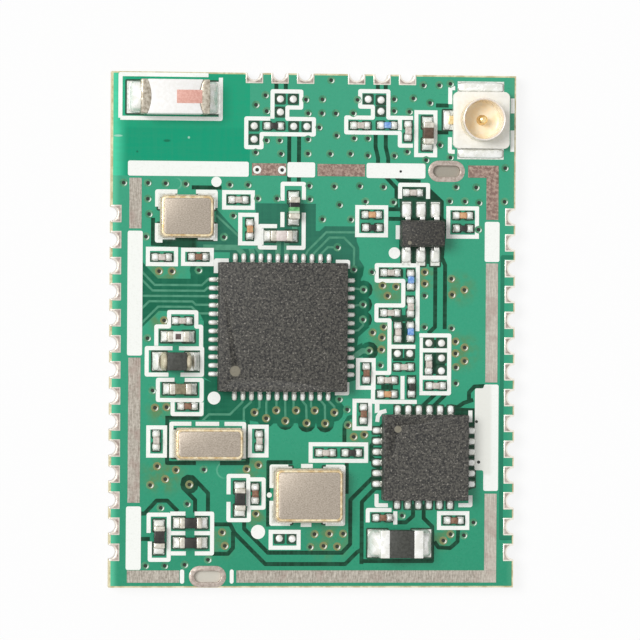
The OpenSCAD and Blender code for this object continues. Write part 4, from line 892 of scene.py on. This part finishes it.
def coaxTail():
    # the contact's tail, which lies on its pad at the left
    bm = bmesh.new()
    low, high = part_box("coax_contact")
    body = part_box("coax_insulator")[0]
    middle = (low.y + high.y) / 2
    bmesh.ops.create_cube(bm, size=1, matrix=Matrix.Translation(
        ((low.x + body.x) / 2 + 0.03 * mm, middle, low.z + 0.09 * mm)
    ) @ Matrix.Diagonal((body.x - low.x + 0.06 * mm, 0.4 * mm, 0.18 * mm, 1)))
    bmesh.ops.bevel(
        bm, geom=bm.edges[:], offset=0.03 * mm, segments=2, profile=0.5, affect="EDGES", material=-1, clamp_overlap=True,
    )
    return bm


coaxPieces = [
    (coaxForm(coaxSettings["shell"]), "coaxShell", "shellMetal", ["coax_shell"]),
    (coaxTabs(), "coaxTabs", "solder", ["coax_shell"]),
    (coaxForm(coaxSettings["dish"]), "coaxDish", "dish", []),
    (coaxTail(), "coaxTail", "tailGold", ["coax_contact"]),
    (coaxForm(coaxSettings["pin"]), "coaxPin", "tailGold", ["coax_contact"]),
]
for bm, pieceName, finish, replaced in coaxPieces:
    addPiece(bm, pieceName, finish, replaced)


def slotShadeSheets():
    # painted shade: a grey sheet low in each lug slot stands for the shadowed floor seen through it
    bm = bmesh.new()
    for low, high, _ in solidsOf("lug_slot_rims"):
        middle = Vector(((low.x + high.x) / 2, (low.y + high.y) / 2, high.z - 0.2 * mm))
        part = bmesh.new()
        disc(part, middle, 0.285, 24)
        for vert in part.verts:
            vert.co.x += math.copysign(0.37 * mm, vert.co.x - middle.x)
        mergeInto(bm, part)
    return bm


addPiece(slotShadeSheets(), "slotShadeSheets", "slotShadeGrey", [])


def ringOf(bm, x, y, inner, outer, level, height):
    part = bmesh.new()
    spunForm(part, [
        (inner, level), (outer, level), (outer, level + height * 0.6), ((inner + outer) / 2, level + height),
        (inner, level + height * 0.6), (inner, level),
    ], Vector((x * mm, y * mm, 0)), 20)
    bmesh.ops.recalc_face_normals(part, faces=part.faces)
    mergeInto(bm, part)


# Two vias in the bare strip, ringed with print, with dark discs in them as painted shade for their holes, and dark
# specks in the bars
stripRings, darkSpots = bmesh.new(), bmesh.new()
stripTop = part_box("shield_strips")[1].z / mm
for x, y in [(-2.7, 7.48), (-1.53, 7.48)]:
    ringOf(stripRings, x, y, 0.09, 0.19, stripTop - 0.005, 0.02)
for x, y, radius in [
    (-2.7, 7.48, 0.1), (-1.53, 7.48, 0.1), (7.71, -4.22, 0.07), (7.82, -6.12, 0.08), (4.05, 7.47, 0.06),
]:
    disc(darkSpots, Vector((x, y, stripTop + 0.004)) * mm, radius, 12)
addPiece(stripRings, "stripRings", "print", [])
addPiece(darkSpots, "darkSpots", "viaDark", [])
print("receptacle, slots and rings made")


# Stage: floor, world, lamps and camera
stageSettings = {
    "floorSize": 2.0, "floorColour": (0.9, 0.9, 0.9, 1), "floorGlow": 0.85,
    "ambient": 0.52, "key": 1.95, "keyAngle": 28.0, "keyTurn": (0.0, -38.0, -20.0),
}


def makeFloor():
    bm = bmesh.new()
    bmesh.ops.create_grid(bm, x_segments=1, y_segments=1, size=stageSettings["floorSize"])
    mesh = bpy.data.meshes.new("floor")
    bm.to_mesh(mesh)
    bm.free()
    floor = bpy.data.objects.new("floor", mesh)
    bpy.context.scene.collection.objects.link(floor)
    material = bpy.data.materials.new("floor")
    material.use_nodes = True
    material.node_tree.nodes.clear()
    start = Wire(material.node_tree)
    plain = start.node("BsdfDiffuse", None, {"Color": stageSettings["floorColour"]})
    glow = start.node("Emission", None, {"Color": (1, 1, 1, 1), "Strength": 1.0})
    camera, glossy, through = (
        start.node("LightPath", None, None, name) for name in ("Is Camera Ray", "Is Glossy Ray", "Is Transmission Ray")
    )
    seen = (camera * stageSettings["floorGlow"] + glossy + through).capped()
    mixed = start.node("MixShader", None, {0: seen, 1: plain, 2: glow})
    under = start.node("NewGeometry", None, None, "Backfacing")
    clear = start.node("BsdfTransparent")
    mixed = start.node("MixShader", None, {0: under, 1: mixed, 2: clear})
    start.node("OutputMaterial", None, {"Surface": mixed})
    mesh.materials.append(material)


def makeWorld():
    world = bpy.data.worlds.new("studio")
    world.use_nodes = True
    world.node_tree.nodes.clear()
    start = Wire(world.node_tree)
    camera, glossy, through = (
        start.node("LightPath", None, None, name) for name in ("Is Camera Ray", "Is Glossy Ray", "Is Transmission Ray")
    )
    seen = (camera + glossy + through).capped()
    strength = seen * (1 - stageSettings["ambient"]) + stageSettings["ambient"]
    glow = start.node("Background", None, {"Color": (1, 1, 1, 1), "Strength": strength})
    start.node("OutputWorld", None, {"Surface": glow})
    bpy.context.scene.world = world


def makeKey():
    lamp = bpy.data.lights.new("key", "SUN")
    lamp.energy = stageSettings["key"]
    lamp.angle = math.radians(stageSettings["keyAngle"])
    holder = bpy.data.objects.new("key", lamp)
    holder.rotation_euler = [math.radians(turn) for turn in stageSettings["keyTurn"]]
    bpy.context.scene.collection.objects.link(holder)


cameraSettings = {
    "aim": (0.295, 0.496, 0.87), "distance": 200.0, "tilt": -6.6, "roll": 0.367, "width": 29.88, "sensor": 36.0,
}


def makeCamera():
    one = cameraSettings
    data = bpy.data.cameras.new("camera")
    data.sensor_width = one["sensor"]
    data.lens = one["sensor"] * one["distance"] / one["width"]
    data.clip_start, data.clip_end = 0.01, 10
    camera = bpy.data.objects.new("camera", data)
    turn = Euler((0, math.radians(one["tilt"]), math.radians(one["roll"]))).to_matrix()
    camera.location = Vector(one["aim"]) * mm + turn @ Vector((0, 0, one["distance"] * mm))
    camera.rotation_euler = turn.to_euler()
    bpy.context.scene.collection.objects.link(camera)
    bpy.context.scene.camera = camera


makeFloor()
makeWorld()
makeKey()
makeCamera()
bpy.context.scene.view_settings.view_transform = "Standard"

print("stage set")
